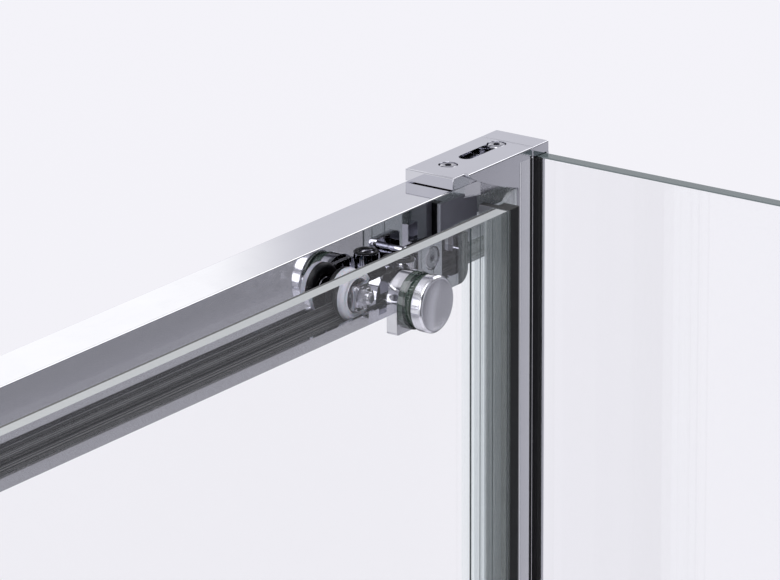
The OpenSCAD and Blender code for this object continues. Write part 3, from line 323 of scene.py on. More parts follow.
softLooks = {
    # EPDM glazing rubber: near black, dull, slightly dusty
    "epdmRubber": {"colour": ("#09090B", "#0F0F12"), "rough": (0.32, 0.45), "ior": 1.32, "grainMm": 1.2,
                   "cloudMm": 18, "grainDepth": 0.004},
    # magnet strip: a ferrite core in mid grey PVC
    "greyMagnetStrip": {"colour": ("#5A5A60", "#505056"), "rough": (0.28, 0.4), "ior": 1.42, "grainMm": 1.5,
                        "cloudMm": 20, "grainDepth": 0.003},
    # clear PVC seen end-on: the light that the strip gathers runs out as dark grey
    "endOnPvc": {"colour": ("#34393B", "#444A4C"), "rough": (0.1, 0.2), "ior": 1.4, "grainMm": 0.8,
                 "cloudMm": 10, "grainDepth": 0.001},
    # smoked nylon bush in the glass: a dark bottle green with a wet gloss
    "smokedNylon": {"colour": ("#1B2620", "#2C3A33"), "rough": (0.08, 0.16), "ior": 1.53, "grainMm": 1.5,
                    "cloudMm": 5, "grainDepth": 0.002},
    # natural acetal of the wheels and the guide's jaw: a milky grey with a soft gloss
    "naturalAcetal": {"colour": ("#A3A4AE", "#9697A1"), "rough": (0.25, 0.36), "ior": 1.48, "grainMm": 1.0,
                      "cloudMm": 9, "grainDepth": 0.002, "milk": 0.2},
}
softs = {name: softMaterial(name, look) for name, look in softLooks.items()}


def clearExtrusion(name, look):
    # clear PVC strip: the wall behind shows through, and the strip darkens where it is seen
    # edge-on, with drawn streaks along its length
    material, tree = newMaterial(name)
    streak = addNode(tree, "ShaderNodeTexNoise", {"Scale": 1.0, "Detail": 3.0},
                     {"Vector": grainCoordinates(tree, look["streakMm"], look["across"])})
    bump = addNode(tree, "ShaderNodeBump", {"Strength": 1.0, "Distance": look["streakDepth"] * mm},
                   {"Height": streak.outputs["Fac"]})
    edgeOn = addNode(tree, "ShaderNodeLayerWeight", {"Blend": look["blend"]}, {"Normal": bump.outputs[0]})
    depth = addNode(tree, "ShaderNodeValToRGB", {"stops": look["depth"]}, {0: edgeOn.outputs["Facing"]})
    through = addNode(tree, "ShaderNodeBsdfTransparent", None, {"Color": depth.outputs[0]})
    shine = addNode(tree, "ShaderNodeBsdfGlossy", {"Roughness": look["rough"]}, {"Normal": bump.outputs[0]})
    milk = addNode(tree, "ShaderNodeBsdfDiffuse", {"Color": linear(look["milk"])})
    body = addNode(tree, "ShaderNodeMixShader", {0: look["milkShare"]},
                   {1: through.outputs[0], 2: milk.outputs[0]})
    gloss = addNode(tree, "ShaderNodeValToRGB", {"stops": look["gloss"]}, {0: edgeOn.outputs["Facing"]})
    shown = addNode(tree, "ShaderNodeMixShader", None, {0: gloss.outputs[0], 1: body.outputs[0],
                                                        2: shine.outputs[0]})
    ray = addNode(tree, "ShaderNodeLightPath")
    shadow = addNode(tree, "ShaderNodeBsdfTransparent", {"Color": linear(look["shade"])})
    lamps = addNode(tree, "ShaderNodeMixShader", None, {0: ray.outputs["Is Shadow Ray"],
                                                        1: shown.outputs[0], 2: shadow.outputs[0]})
    addNode(tree, "ShaderNodeOutputMaterial", None, {"Surface": lamps.outputs[0]})
    return material


clearLook = {  # depth and gloss go from a wall seen flat, 0, to one seen edge-on, 1
    "streakMm": 1.2, "streakDepth": 0.002, "milk": "#DDE3E3", "milkShare": 0.03, "shade": "#E9EEED",
    "rough": 0.06, "blend": 0.35,
    "depth": [(0.0, "#FDFEFE"), (0.7, "#F8FAFA"), (0.86, "#C9D0CF"), (1.0, "#5E6867")],
    "gloss": [(0.0, "#181818"), (0.5, "#1C1C1C"), (0.8, "#4A4A4A"), (1.0, "#C8C8C8")],
}
softs["clearPvcUpright"] = clearExtrusion("clearPvcUpright", dict(clearLook, across=(1, 1, 0.02)))
softs["clearPvcAlongRail"] = clearExtrusion("clearPvcAlongRail", dict(clearLook, across=(0.02, 1, 1)))
print("rubber and plastics ready:", len(softs))


# materials on the CAD nodes
finishes = {
    "brightAluminiumUpright": ["corner_post", "side_channel", "front_wall_channel", "side_wall_channel",
                               "side_sill"],
    "etchedAluminium": ["strike_profile"],
    "railWithPaintedTrack": ["header_rail"],
    "brightAluminiumAlongRail": ["glazing_channel", "fixed_sill", "threshold"],
    "chromeBracket": ["corner_bracket", "channel_cap", "track_end_cap"],
    "chromePlatedZinc": ["front_carrier", "rear_carrier", "front_back_plate", "rear_back_plate",
                         "inner_handle", "outer_handle", "closing_stop", "opening_stop"],
    "satinChrome": ["rail_corner_plug", "rail_wall_plug", "guide_base"],
    "turnedChrome": ["front_knob", "rear_knob"],
    "stainlessSteel": ["bracket_screws", "stop_screws", "plug_screw", "guide_pin", "handle_bolts",
                       "front_axle", "rear_axle", "front_adjuster", "rear_adjuster", "front_bearing",
                       "rear_bearing"],
    "epdmRubber": ["corner_gasket", "side_gaskets", "fixed_gaskets", "strike_magnet", "door_magnet"],
    "smokedNylon": ["front_bush", "rear_bush"],
    "clearPvcUpright": ["leading_seal", "trailing_seal", "fixed_edge_seal", "strike_cap"],
    "clearPvcAlongRail": ["drip_seal", "handle_washers"],
    "naturalAcetal": ["front_wheel", "rear_wheel", "guide_jaw"],
}
allMaterials = {**metals, **softs}


def dress(name, material):
    mesh = nodes[name].data
    mesh.materials.clear()
    mesh.materials.append(material)


for finish, names in finishes.items():
    for name in names:
        dress(name, allMaterials[finish])
for name, glass in glassAlongRail.items():
    dress(name, glass)
dress("side_glass", sidePaneGlass)
# the closing lip is black on top and towards the shower, and mid grey on its other faces
closingLip = {"node": "door_magnet", "bare": "greyMagnetStrip", "blackBeyond": 0.5}
lip = nodes[closingLip["node"]].data
lip.materials.append(allMaterials[closingLip["bare"]])
for face in lip.polygons:
    face.material_index = 0 if max(face.normal.y, face.normal.z) > closingLip["blackBeyond"] else 1
print("CAD nodes dressed")


# softened edges on the CAD nodes
edgeBevel = {"weld": 0.004, "steps": 3, "sharpest": 40}  # millimetres, segments, degrees
edgeRadii = {  # millimetres
    "corner_bracket": 0.25, "channel_cap": 0.25, "header_rail": 0.25, "corner_post": 0.2,
    "side_channel": 0.25, "track_end_cap": 0.5, "closing_stop": 0.4, "opening_stop": 0.4,
    "front_back_plate": 0.5, "rear_back_plate": 0.5, "front_carrier": 0.5, "rear_carrier": 0.5,
    "strike_cap": 0.5, "strike_profile": 0.3, "fixed_glass": 0.6, "side_glass": 0.6,
    "inner_handle": 0.8, "outer_handle": 0.8, "guide_base": 0.6, "guide_jaw": 0.5,
    "front_wall_channel": 0.3, "side_wall_channel": 0.3, "glazing_channel": 0.3, "side_sill": 0.3,
    "fixed_sill": 0.3, "threshold": 0.3, "corner_gasket": 0.3, "door_magnet": 0.3, "strike_magnet": 0.3,
    "front_bush": 0.2, "rear_bush": 0.2, "rail_corner_plug": 0.3, "rail_wall_plug": 0.3,
}
for name, radius in edgeRadii.items():
    node = nodes[name]
    weld = node.modifiers.new("weld", "WELD")
    weld.merge_threshold = edgeBevel["weld"] * mm
    bevel = node.modifiers.new("edges", "BEVEL")
    bevel.width = radius * mm
    bevel.segments = edgeBevel["steps"]
    bevel.limit_method = "ANGLE"
    bevel.angle_limit = math.radians(edgeBevel["sharpest"])
    if name.endswith("_glass"):
        continue  # the panes stay dead flat right up to their edges
    node.data.shade_smooth()
    smooth = node.modifiers.new("shading", "WEIGHTED_NORMAL")
    smooth.keep_sharp = True
print("edges softened")


# mesh pieces
def softened(corners, closed):
    # corners (across, up, softness) in millimetres; each softness becomes a short round curve
    path = []
    for i, corner in enumerate(corners):
        here, soft = Vector(corner[:2]), corner[2]
        if soft == 0 or (not closed and i in (0, len(corners) - 1)):
            path.append((here.x, here.y, i))
            continue
        before = Vector(corners[i - 1][:2]) - here
        after = Vector(corners[(i + 1) % len(corners)][:2]) - here
        reach = min(soft, before.length * 0.49, after.length * 0.49)
        first, last = here + before.normalized() * reach, here + after.normalized() * reach
        for t in (0.0, 0.25, 0.5, 0.75, 1.0):
            point = first * (1 - t) ** 2 + here * 2 * t * (1 - t) + last * t ** 2
            path.append((point.x, point.y, i))
    return path


crease = 38  # degrees: a sharper edge than this stays sharp in the shading
cutSlope = 0.002  # radians that the side wall of a cut leans over
hexBeyond = 9  # millimetres, a radius past the corners of every hexagon opening


def turnedShape(shape, corners, axis, centre=(0, 0, 0), closed=False, sides=96, cuts=()):
    # corners: (radius, height, softness, hexagon), where the hexagon is half its width across flats;
    # cuts are notches in the outer wall, each with an edge of its own in the mesh
    angles = [2 * math.pi * k / sides for k in range(sides)]
    for cut in cuts:
        for side in (-1, 1):
            edge = math.radians(cut["angle"]) + side * cut["width"] / 2 / cut["radius"]
            angles += [(edge - cutSlope) % (2 * math.pi), (edge + cutSlope) % (2 * math.pi)]
    angles = sorted(set(angles))
    rings = []
    for radius, height, index in softened(corners, closed):
        flats = corners[index][3] if len(corners[index]) > 3 else 0
        ring = []
        for angle in ([0.0] if radius < 1e-6 else angles):
            reach = radius
            if flats:
                reach = min(reach, flats / math.cos(angle % (math.pi / 3) - math.pi / 6))
            for cut in cuts:
                apart = (angle - math.radians(cut["angle"]) + math.pi) % (2 * math.pi) - math.pi
                if abs(apart) < cut["width"] / 2 / cut["radius"] and cut["low"] <= height <= cut["high"]:
                    reach = min(reach, cut["radius"] - cut["depth"])
            across, up = reach * math.cos(angle), reach * math.sin(angle)
            spot = {"y": (across, height, up), "z": (across, up, height)}[axis]
            ring.append(shape.verts.new([(c + o) * mm for c, o in zip(spot, centre)]))
        rings.append(ring)
    pairs = list(zip(rings, rings[1:])) + ([(rings[-1], rings[0])] if closed else [])
    for low, high in pairs:
        count = max(len(low), len(high))
        for k in range(count):
            n = (k + 1) % count
            around = [low[k % len(low)], low[n % len(low)], high[n % len(high)], high[k % len(high)]]
            distinct = [v for i, v in enumerate(around) if v not in around[:i]]
            if len(distinct) > 2:
                shape.faces.new(distinct)


def extrudedShape(shape, corners, axis, low, high):
    # a closed outline, drawn out along the rail (x) or upright (z)
    path = softened(corners, True)
    ends = []
    for place in (low, high):
        spots = [(a, b, place) if axis == "z" else (place, a, b) for a, b, i in path]
        ends.append([shape.verts.new([c * mm for c in spot]) for spot in spots])
    for k in range(len(path)):
        n = (k + 1) % len(path)
        shape.faces.new([ends[0][k], ends[0][n], ends[1][n], ends[1][k]])
    shape.faces.new(ends[0])
    shape.faces.new(ends[1])


def finishPiece(name, shape, place, material, body, hides=()):
    bmesh.ops.recalc_face_normals(shape, faces=shape.faces[:])
    mesh = bpy.data.meshes.new(name)
    shape.to_mesh(mesh)
    shape.free()
    mesh.materials.append(allMaterials[material])
    mesh.shade_smooth()
    mesh.set_sharp_from_angle(angle=math.radians(crease))
    piece = bpy.data.objects.new(name, mesh)
    piece.location = [c * mm for c in place]
    bpy.context.scene.collection.objects.link(piece)
    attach(piece, body)
    if hides:
        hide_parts(*hides)
    return piece


def boxMm(name):
    low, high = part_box(name)
    return [c / mm for c in low], [c / mm for c in high]


# knobs: a lathe-turned head with a shallow dish, a polished rim and fine grooves for the key
knob = {
    "stud": 4.0, "bushGap": 0.3, "footBevel": 0.35, "rimBevel": 0.8, "sides": 144,
    "dishRim": 1.6, "dishDepth": 0.8, "dishStep": 0.05,
    "dishRings": (0.93, 0.85, 0.75, 0.62, 0.48, 0.34, 0.2, 0.08),
    "keyGrooves": {"apart": 2.2, "width": 0.4, "depth": 0.35, "length": 3.3},
    "indexNotch": {"angle": 78, "width": 0.6, "depth": 0.5, "length": 1.6},
    "frontNotch": {"angle": 180, "width": 1.2, "depth": 0.5, "length": 2.0},
}
for end in ("front", "rear"):
    low, high = boxMm(end + "_knob")
    radius, length = (high[2] - low[2]) / 2, high[1] - low[1]
    base = boxMm(end + "_bush")[1][1] + knob["bushGap"] - low[1]
    stud, rim, step, groove = knob["stud"], knob["rimBevel"], knob["dishStep"], knob["keyGrooves"]
    dish = radius - knob["dishRim"]
    corners = [(0, 0, 0), (stud - 0.4, 0, 0.2), (stud, 0.4, 0.2), (stud, base, 0.1),
               (radius - knob["footBevel"], base, 0.2), (radius, base + 0.3, 0.1),
               (radius, base + groove["length"], 0), (radius, base + groove["length"] + step, 0),
               (radius, length - rim, 0.5), (radius - rim, length, 0.5), (dish + 0.25, length, 0.25),
               (dish, length - step, 0)]
    corners += [(dish * share, length - knob["dishDepth"] * (1 - share ** 2) - step * share, 0)
                for share in knob["dishRings"]]
    corners.append((0, length - knob["dishDepth"], 0))
    cuts = [dict(groove, angle=math.degrees(side * groove["apart"] / 2 / radius), radius=radius,
                 low=base + 0.2, high=base + groove["length"] + 0.01) for side in (-1, 1)]
    cuts += [dict(knob[notch], radius=radius, low=length - knob[notch]["length"], high=length + 1)
             for notch in ("indexNotch", "frontNotch")]
    shape = bmesh.new()
    turnedShape(shape, corners, "y", sides=knob["sides"], cuts=cuts)
    place = ((low[0] + high[0]) / 2, low[1], (low[2] + high[2]) / 2)
    finishPiece(end + "KnobTurned", shape, place, "turnedChrome", end + "_knob",
                [end + "_knob"])
print("knobs ready")

# wheels: a rounded acetal tyre on a shielded ball bearing, held by a hexagon-headed axle
wheel = {"tyreSoft": 0.9, "faceGroove": 0.35, "seatLip": 0.75, "bearingFit": 0.02}
bearing = {"bore": 2.6, "raceWidth": 1.1, "shieldRecess": 0.35, "air": 0.06}
axle = {"hexCorner": 4.3, "hexLength": 2.2, "tip": 1.6, "chamfer": 0.4, "flange": 4.45,
        "flangeThick": 0.4, "shaft": 2.48}
adjuster = {"opening": 1.25, "openingDepth": 1.4, "air": 0.05,
            "ring": {"inner": 3.15, "outer": 4.5, "low": 0.02, "high": 0.6}}
for end in ("front", "rear"):
    low, high = boxMm(end + "_wheel")
    bearingLow, bearingHigh = boxMm(end + "_bearing")
    radius, width = (high[2] - low[2]) / 2, high[1] - low[1]
    place = ((low[0] + high[0]) / 2, low[1], (low[2] + high[2]) / 2)
    soft, dip, fit = wheel["tyreSoft"], wheel["faceGroove"], wheel["bearingFit"]
    seat, start = (bearingHigh[2] - bearingLow[2]) / 2 + fit, bearingLow[1] - low[1] - fit
    lip = seat - wheel["seatLip"]
    tyre = [(lip, 0, 0.3), (radius - soft, 0, 0.4), (radius, soft, 0.6), (radius, width / 2, 0),
            (radius, width - soft, 0.6), (radius - soft, width, 0.5), (radius - soft - 0.5, width, 0.2),
            (radius - soft - 0.7, width - dip, 0.15), (seat + 0.5, width - dip, 0.15),
            (seat + 0.3, width, 0.15), (seat + 0.05, width, 0.1), (seat, width - 0.4, 0),
            (seat, start, 0), (lip, start, 0)]
    shape = bmesh.new()
    turnedShape(shape, tyre, "y", closed=True)
    tyrePiece = finishPiece(end + "WheelTyre", shape, place, "naturalAcetal", end + "_wheel",
                            [end + "_wheel"])
    # painted shade: the half towards the rail is black rubber, for the shade between the wheel and the rail
    tyrePiece.data.materials.append(allMaterials["epdmRubber"])
    for face in tyrePiece.data.polygons:
        if face.center.y < width / 2 * mm:
            face.material_index = 1
    outer, deep = seat - bearing["air"], bearingHigh[1] - bearingLow[1]
    inner, sunk, band = bearing["bore"], bearing["shieldRecess"], bearing["raceWidth"]
    race = [(inner, 0, 0.2), (inner + band, 0, 0.1), (inner + band + 0.05, sunk, 0),
            (outer - band, sunk, 0), (outer - band + 0.05, 0, 0.1), (outer, 0, 0.25),
            (outer, deep, 0.25), (outer - band + 0.05, deep, 0.1), (outer - band, deep - sunk, 0),
            (inner + band + 0.05, deep - sunk, 0), (inner + band, deep, 0.1), (inner, deep, 0.2)]
    shape = bmesh.new()
    turnedShape(shape, race, "y", closed=True)
    finishPiece(end + "BearingShielded", shape, (place[0], bearingLow[1], place[2]), "stainlessSteel",
                end + "_wheel", [end + "_bearing"])
    axleLow, axleHigh = boxMm(end + "_axle")
    total = axleHigh[1] - axleLow[1]
    hexEnd = total - axle["tip"]
    hexStart = hexEnd - axle["hexLength"]
    flats, soft, point = axle["hexCorner"] * math.cos(math.pi / 6), axle["chamfer"], axle["hexCorner"]
    flange, thick, shaft = axle["flange"], axle["flangeThick"], axle["shaft"]
    corners = [(0, 0, 0), (flange - 0.1, 0, 0.15), (flange, thick, 0), (shaft, thick, 0),
               (shaft, hexStart, 0), (flats - 0.15, hexStart, 0, flats),
               (flats + 0.3, hexStart + soft / 2, 0, flats), (point, hexStart + soft, 0, flats),
               (point, hexEnd - soft, 0, flats), (flats + 0.3, hexEnd - soft / 2, 0, flats),
               (flats - 0.15, hexEnd, 0, flats), (shaft - 0.03, hexEnd, 0.1),
               (shaft - 0.03, total - 0.6, 0.4), (1.7, total, 0.3), (0, total - 0.1, 0)]
    shape = bmesh.new()
    turnedShape(shape, corners, "y")
    finishPiece(end + "AxleHexagon", shape, (place[0], axleLow[1], place[2]), "stainlessSteel", "door",
                [end + "_axle"])
    adjustLow, adjustHigh = boxMm(end + "_adjuster")
    tall, wide = adjustHigh[2] - adjustLow[2], (adjustHigh[0] - adjustLow[0]) / 2 - adjuster["air"]
    opening, bottom = adjuster["opening"], tall - adjuster["openingDepth"]
    corners = [(0, 0, 0), (wide, 0, 0.2), (wide, tall, 0.35), (opening + 0.5, tall, 0.1),
               (hexBeyond, tall - 0.15, 0, opening), (hexBeyond, bottom, 0, opening),
               (0, bottom - 0.2, 0)]
    shape = bmesh.new()
    turnedShape(shape, corners, "z")
    middle = ((adjustLow[0] + adjustHigh[0]) / 2, (adjustLow[1] + adjustHigh[1]) / 2)
    finishPiece(end + "AdjusterScrew", shape, (*middle, adjustLow[2]), "stainlessSteel", "door",
                [end + "_adjuster"])
    # painted shade: a black rubber ring on the adjuster's top stands in for the dark recess there
    ring = adjuster["ring"]
    corners = [(ring["inner"], ring["low"], 0.1), (ring["outer"], ring["low"], 0.3),
               (ring["outer"], ring["high"], 0.3), (ring["inner"], ring["high"], 0.3)]
    shape = bmesh.new()
    turnedShape(shape, corners, "z", closed=True)
    finishPiece(end + "AdjusterShadeRing", shape, (*middle, adjustHigh[2]), "epdmRubber", "door")
print("wheels and axles ready")

# socket screws: low domed heads with a hexagon opening
screw = {
    "headHeight": 2.0, "dome": 0.45, "opening": 1.25, "openingDepth": 1.4, "shank": 2.0, "tip": 0.4,
    "sides": 72,
    # piece, node, the way the screws point, a way across their heads, and how many there are
    "places": [("bracketScrewPair", "bracket_screws", "z", "y", 2),
               ("stopScrewPair", "stop_screws", "y", "z", 2),
               ("railPlugScrew", "plug_screw", "z", "x", 1)],
}
for name, node, axis, acrossHead, count in screw["places"]:
    low, high = boxMm(node)
    along, across = "xyz".index(axis), "xyz".index(acrossHead)
    headRadius, length = (high[across] - low[across]) / 2, high[along] - low[along]
    middle = [(a + b) / 2 for a, b in zip(low, high)]
    middle[along] = high[along]
    dome, opening, depth, shank = (screw[key] for key in ("dome", "opening", "openingDepth", "shank"))
    corners = [(0, -length, 0), (shank - screw["tip"], -length, 0.1), (shank, -length + screw["tip"], 0.1),
               (shank, -screw["headHeight"], 0), (headRadius, -screw["headHeight"], 0.2),
               (headRadius, -dome, 0.4), (headRadius - 2 * dome, 0, 0.5), (opening + 0.5, 0, 0.12),
               (hexBeyond, -0.12, 0, opening), (hexBeyond, -depth, 0, opening), (0, -depth - 0.25, 0)]
    shape = bmesh.new()
    for x in ((low[0] + headRadius, high[0] - headRadius) if count == 2 else (middle[0],)):
        turnedShape(shape, corners, axis, (x, *middle[1:]), sides=screw["sides"])
    finishPiece(name, shape, (0, 0, 0), "stainlessSteel", "frame", [node])
print("screws ready")

# clear seals: thin extruded channels that stand just off the glass, in millimetres
seal = {"wall": 1.0, "air": 0.05, "ribs": (0.4, 0.73), "ribWidth": 1.5, "ribRise": 0.45,
        "fin": 0.3, "endOnBeyond": 0.7}
paneLow, paneHigh = boxMm("door_glass")
wall, air = seal["wall"], seal["air"]
outer, inner = paneLow[1] - wall, paneHigh[1] + wall
low, high = boxMm("leading_seal")
leg = high[0] - paneLow[0]
ribs = []
for share in seal["ribs"]:
    at = paneLow[0] + share * leg
    ribs = [(at + seal["ribWidth"], inner, 0.2), (at + seal["ribWidth"] * 0.8, inner + seal["ribRise"], 0.25),
            (at + seal["ribWidth"] * 0.2, inner + seal["ribRise"], 0.25), (at, inner, 0.2)] + ribs
outline = [(high[0], outer, 0.4), (high[0], paneLow[1] - air, 0.2),
           (paneLow[0] - air, paneLow[1] - air, 0.1), (paneLow[0] - air, paneHigh[1] + air, 0.1),
           (high[0], paneHigh[1] + air, 0.2), (high[0], inner, 0.4)]
outline += ribs + [(low[0], inner, 0.4), (low[0], outer, 0.4)]
shape = bmesh.new()
extrudedShape(shape, outline, "z", low[2], high[2])
sealPiece = finishPiece("leadingSealRibbed", shape, (0, 0, 0), "clearPvcUpright", "door",
                        ["leading_seal"])
# painted shade: the upright ends and rib sides on the shower's side of the pane are seen end-on, in dark grey
sealPiece.data.materials.append(allMaterials["endOnPvc"])
for face in sealPiece.data.polygons:
    if abs(face.normal.x) > seal["endOnBeyond"] and face.center.y > paneHigh[1] * mm:
        face.material_index = 1

low, high = boxMm("trailing_seal")
outline = [(low[0], outer, 0.4), (low[0], paneLow[1] - air, 0.2),
           (paneHigh[0] + air, paneLow[1] - air, 0.1), (paneHigh[0] + air, paneHigh[1] + air, 0.1),
           (low[0], paneHigh[1] + air, 0.2), (low[0], inner, 0.4), (high[0], inner, 0.4),
           (high[0], outer, 0.4)]
shape = bmesh.new()
extrudedShape(shape, outline, "z", low[2], high[2])
finishPiece("trailingSealClip", shape, (0, 0, 0), "clearPvcUpright", "door", ["trailing_seal"])

low, high = boxMm("drip_seal")
foot, middle, fin = paneLow[2], (paneLow[1] + paneHigh[1]) / 2, seal["fin"]
outline = [(outer, high[2], 0.4), (paneLow[1] - air, high[2], 0.3), (paneLow[1] - air, foot - air, 0.1),
           (paneHigh[1] + air, foot - air, 0.1), (paneHigh[1] + air, high[2], 0.3), (inner, high[2], 0.4),
           (inner, foot - 2 * wall, 0.6), (middle + wall, foot - 2 * wall, 0.3),
           (middle + fin, low[2], 0.3), (middle - fin, low[2], 0.3),
           (middle - wall, foot - 2 * wall, 0.3), (outer, foot - 2 * wall, 0.6)]
shape = bmesh.new()
extrudedShape(shape, outline, "x", low[0], high[0])
finishPiece("dripSealFin", shape, (0, 0, 0), "clearPvcAlongRail", "door", ["drip_seal"])

low, high = boxMm("fixed_edge_seal")
fixedLow, fixedHigh = boxMm("fixed_glass")
first, last = fixedLow[1] - wall, fixedHigh[1] + wall
outline = [(high[0], first, 0.4), (high[0], fixedLow[1] - air, 0.2),
           (fixedLow[0] - air, fixedLow[1] - air, 0.1), (fixedLow[0] - air, fixedHigh[1] + air, 0.1),
           (high[0], fixedHigh[1] + air, 0.2), (high[0], last, 0.4), (fixedLow[0] - 0.2, last, 0.5),
           (fixedLow[0] - 0.35, high[1], 0.2), (low[0] + 0.1, high[1], 0.2), (low[0], last, 0.5),
           (low[0], first, 0.4)]
shape = bmesh.new()
extrudedShape(shape, outline, "z", low[2], high[2])
finishPiece("fixedEdgeFin", shape, (0, 0, 0), "clearPvcUpright", "frame", ["fixed_edge_seal"])
print("seals ready")


# studio: pale floor, a big soft lamp overhead, a fill, and the surrounding room light
studio = {
    "background": ("#F2F1F7", "#F4F3F9"),  # low and high in the photograph
    "horizon": (-0.36, -0.27),  # how steeply down the one turns into the other
    "floorRadius": 3.2, "floorFade": (1.7, 3.1), "floorDrop": 0.0005,  # metres
    "floorColour": "#E9E8EC", "floorRough": 0.9,
    "behindGlass": 1.05, "roomLight": 0.75, "roomColour": "#F7F7FA",
    # watts, metres across, where the lamp hangs and what it points at
    "lamps": {"overheadSoftbox": (90, 2.6, (0.9, 0.9, 4.6), (0, 0, 1)),
              "fillSoftbox": (30, 2.0, (2.6, 2.2, 2.2), (0, 0, 1.2))},
}

floorMesh = bpy.data.meshes.new("studioFloor")
shape = bmesh.new()
bmesh.ops.create_circle(shape, cap_ends=True, segments=96, radius=studio["floorRadius"])
shape.to_mesh(floorMesh)
shape.free()
floor = bpy.data.objects.new("studioFloor", floorMesh)
bpy.context.scene.collection.objects.link(floor)
floor.location.z = -studio["floorDrop"]
floorMaterial, tree = newMaterial("paleStudioFloor")
place = addNode(tree, "ShaderNodeTexCoord")
far = addNode(tree, "ShaderNodeVectorMath", {"operation": "LENGTH"}, {0: place.outputs["Object"]})
fade = addNode(tree, "ShaderNodeMapRange",
               {"interpolation_type": "SMOOTHSTEP", "From Min": studio["floorFade"][0],
                "From Max": studio["floorFade"][1]}, {"Value": far.outputs["Value"]})
paint = addNode(tree, "ShaderNodeBsdfPrincipled", {"Base Color": linear(studio["floorColour"]),
                                                   "Roughness": studio["floorRough"]})
gone = addNode(tree, "ShaderNodeBsdfTransparent")
mixed = addNode(tree, "ShaderNodeMixShader", None, {0: fade.outputs[0], 1: paint.outputs[0],
                                                    2: gone.outputs[0]})
addNode(tree, "ShaderNodeOutputMaterial", None, {"Surface": mixed.outputs[0]})
floorMesh.materials.append(floorMaterial)

for name, (power, size, place, toward) in studio["lamps"].items():
    data = bpy.data.lights.new(name, "AREA")
    data.energy = power
    data.size = size
    lamp = bpy.data.objects.new(name, data)
    lamp.location = place
    lamp.rotation_euler = (Vector(toward) - Vector(place)).to_track_quat("-Z", "Y").to_euler()
    bpy.context.scene.collection.objects.link(lamp)

# what polished metal sees of the studio: pale walls with darker corners, by compass and by height
reflectedRoom = {
    "compass": [(0.0, "#8A8A92"), (0.03, "#D8D8DE"), (0.07, "#E4E4EA"), (0.12, "#E1E1E7"),
                (0.2, "#EDEDF2"), (0.33, "#F6F6FA"), (0.42, "#FBFBFD"), (0.55, "#E4E4EA"),
                (0.64, "#D0D0D6"), (0.66, "#3A3A40"), (0.70, "#3A3A40"), (0.72, "#DADAE0"),
                (0.80, "#E6E6EC"), (0.86, "#A0A0A6"), (0.9019, "#9D9DA3"), (0.9046, "#C9C9CF"),
                (0.915, "#C0C0C7"), (0.94, "#97979E"), (0.97, "#55555C"), (1.0, "#8A8A92")],
    "height": [(0.0, "#202024"), (0.18, "#3C3C42"), (0.24, "#B0B0B6"), (0.29, "#FFFFFF"), (0.75, "#FFFFFF"),
               (0.78, "#6A6A70"), (0.83, "#7A7A80"), (0.86, "#FFFFFF"), (1.0, "#FFFFFF")],
    # a window above the far wall, a lamp beyond the rail's far end, and the dark doorway there;
    # the later lies over the earlier, and inner and outer are degrees from its middle
    "patches": [{"toward": (-0.775, 0.16, 0.60), "level": 2.4, "inner": 15, "outer": 22},
                {"toward": (-0.674, -0.662, 0.33), "level": 1.3, "inner": 7.1, "outer": 8.2},
                {"toward": (-0.775, 0.548, 0.315), "level": 0.02, "inner": 11, "outer": 15}],
}

world = bpy.data.worlds.new("studioRoom")
bpy.context.scene.world = world
world.use_nodes = True
tree = world.node_tree
tree.nodes.clear()
direction = addNode(tree, "ShaderNodeTexCoord")
apart = addNode(tree, "ShaderNodeSeparateXYZ", None, {0: direction.outputs["Generated"]})
skyShare = addNode(tree, "ShaderNodeMapRange", {"From Min": studio["horizon"][0],
                                                "From Max": studio["horizon"][1]},
                   {"Value": apart.outputs["Z"]})
backdrop = addNode(tree, "ShaderNodeMix", {"data_type": "RGBA", 6: linear(studio["background"][0]),
                                           7: linear(studio["background"][1])}, {0: skyShare.outputs[0]})
turn = addNode(tree, "ShaderNodeMath", {"operation": "ARCTAN2"},
               {0: apart.outputs["Y"], 1: apart.outputs["X"]})
compass = addNode(tree, "ShaderNodeMapRange", {"From Min": -math.pi, "From Max": math.pi},
                  {"Value": turn.outputs[0]})
around = addNode(tree, "ShaderNodeValToRGB", {"stops": reflectedRoom["compass"]}, {0: compass.outputs[0]})
rise = addNode(tree, "ShaderNodeMapRange", {"From Min": -1.0, "From Max": 1.0}, {"Value": apart.outputs["Z"]})
upward = addNode(tree, "ShaderNodeValToRGB", {"stops": reflectedRoom["height"]}, {0: rise.outputs[0]})
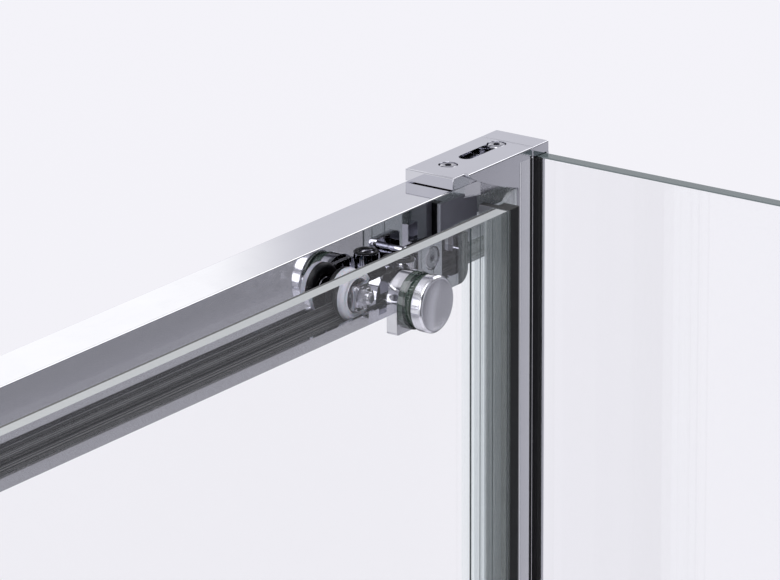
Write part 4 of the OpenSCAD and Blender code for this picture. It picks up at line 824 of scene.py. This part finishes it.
room = addNode(tree, "ShaderNodeMix", {"data_type": "RGBA", "blend_type": "MULTIPLY", 0: 1.0},
               {6: around.outputs[0], 7: upward.outputs[0]})
seen = room.outputs[2]
for patch in reflectedRoom["patches"]:
    lined = addNode(tree, "ShaderNodeVectorMath",
                    {"operation": "DOT_PRODUCT", 1: Vector(patch["toward"]).normalized()},
                    {0: direction.outputs["Generated"]})
    share = addNode(tree, "ShaderNodeMapRange",
                    {"interpolation_type": "SMOOTHSTEP", "From Min": math.cos(math.radians(patch["outer"])),
                     "From Max": math.cos(math.radians(patch["inner"]))}, {"Value": lined.outputs["Value"]})
    seen = addNode(tree, "ShaderNodeMix", {"data_type": "RGBA", 7: [patch["level"]] * 3 + [1]},
                   {0: share.outputs[0], 6: seen}).outputs[2]
ray = addNode(tree, "ShaderNodeLightPath")
# a ray that has met metal or gloss on its way sees the reflected room
mirrored = addNode(tree, "ShaderNodeMath", {"operation": "GREATER_THAN", 1: 0.5},
                   {0: ray.outputs["Glossy Depth"]})
lightRoom = addNode(tree, "ShaderNodeBackground", {"Color": linear(studio["roomColour"]),
                                                   "Strength": studio["roomLight"]})
mirrorRoom = addNode(tree, "ShaderNodeBackground", None, {"Color": seen})
shownRoom = addNode(tree, "ShaderNodeBackground", None, {"Color": backdrop.outputs[2]})
# the panes swallow a little light, which the room behind them makes up for
paneRoom = addNode(tree, "ShaderNodeBackground", {"Strength": studio["behindGlass"]},
                   {"Color": backdrop.outputs[2]})
throughGlass = addNode(tree, "ShaderNodeMixShader", None, {0: ray.outputs["Is Transmission Ray"],
                                                           1: lightRoom.outputs[0], 2: paneRoom.outputs[0]})
plain = addNode(tree, "ShaderNodeMixShader", None, {0: ray.outputs["Is Camera Ray"],
                                                    1: throughGlass.outputs[0], 2: shownRoom.outputs[0]})
whole = addNode(tree, "ShaderNodeMixShader", None, {0: mirrored.outputs[0], 1: plain.outputs[0],
                                                    2: mirrorRoom.outputs[0]})
addNode(tree, "ShaderNodeOutputWorld", None, {"Surface": whole.outputs[0]})
print("studio ready")
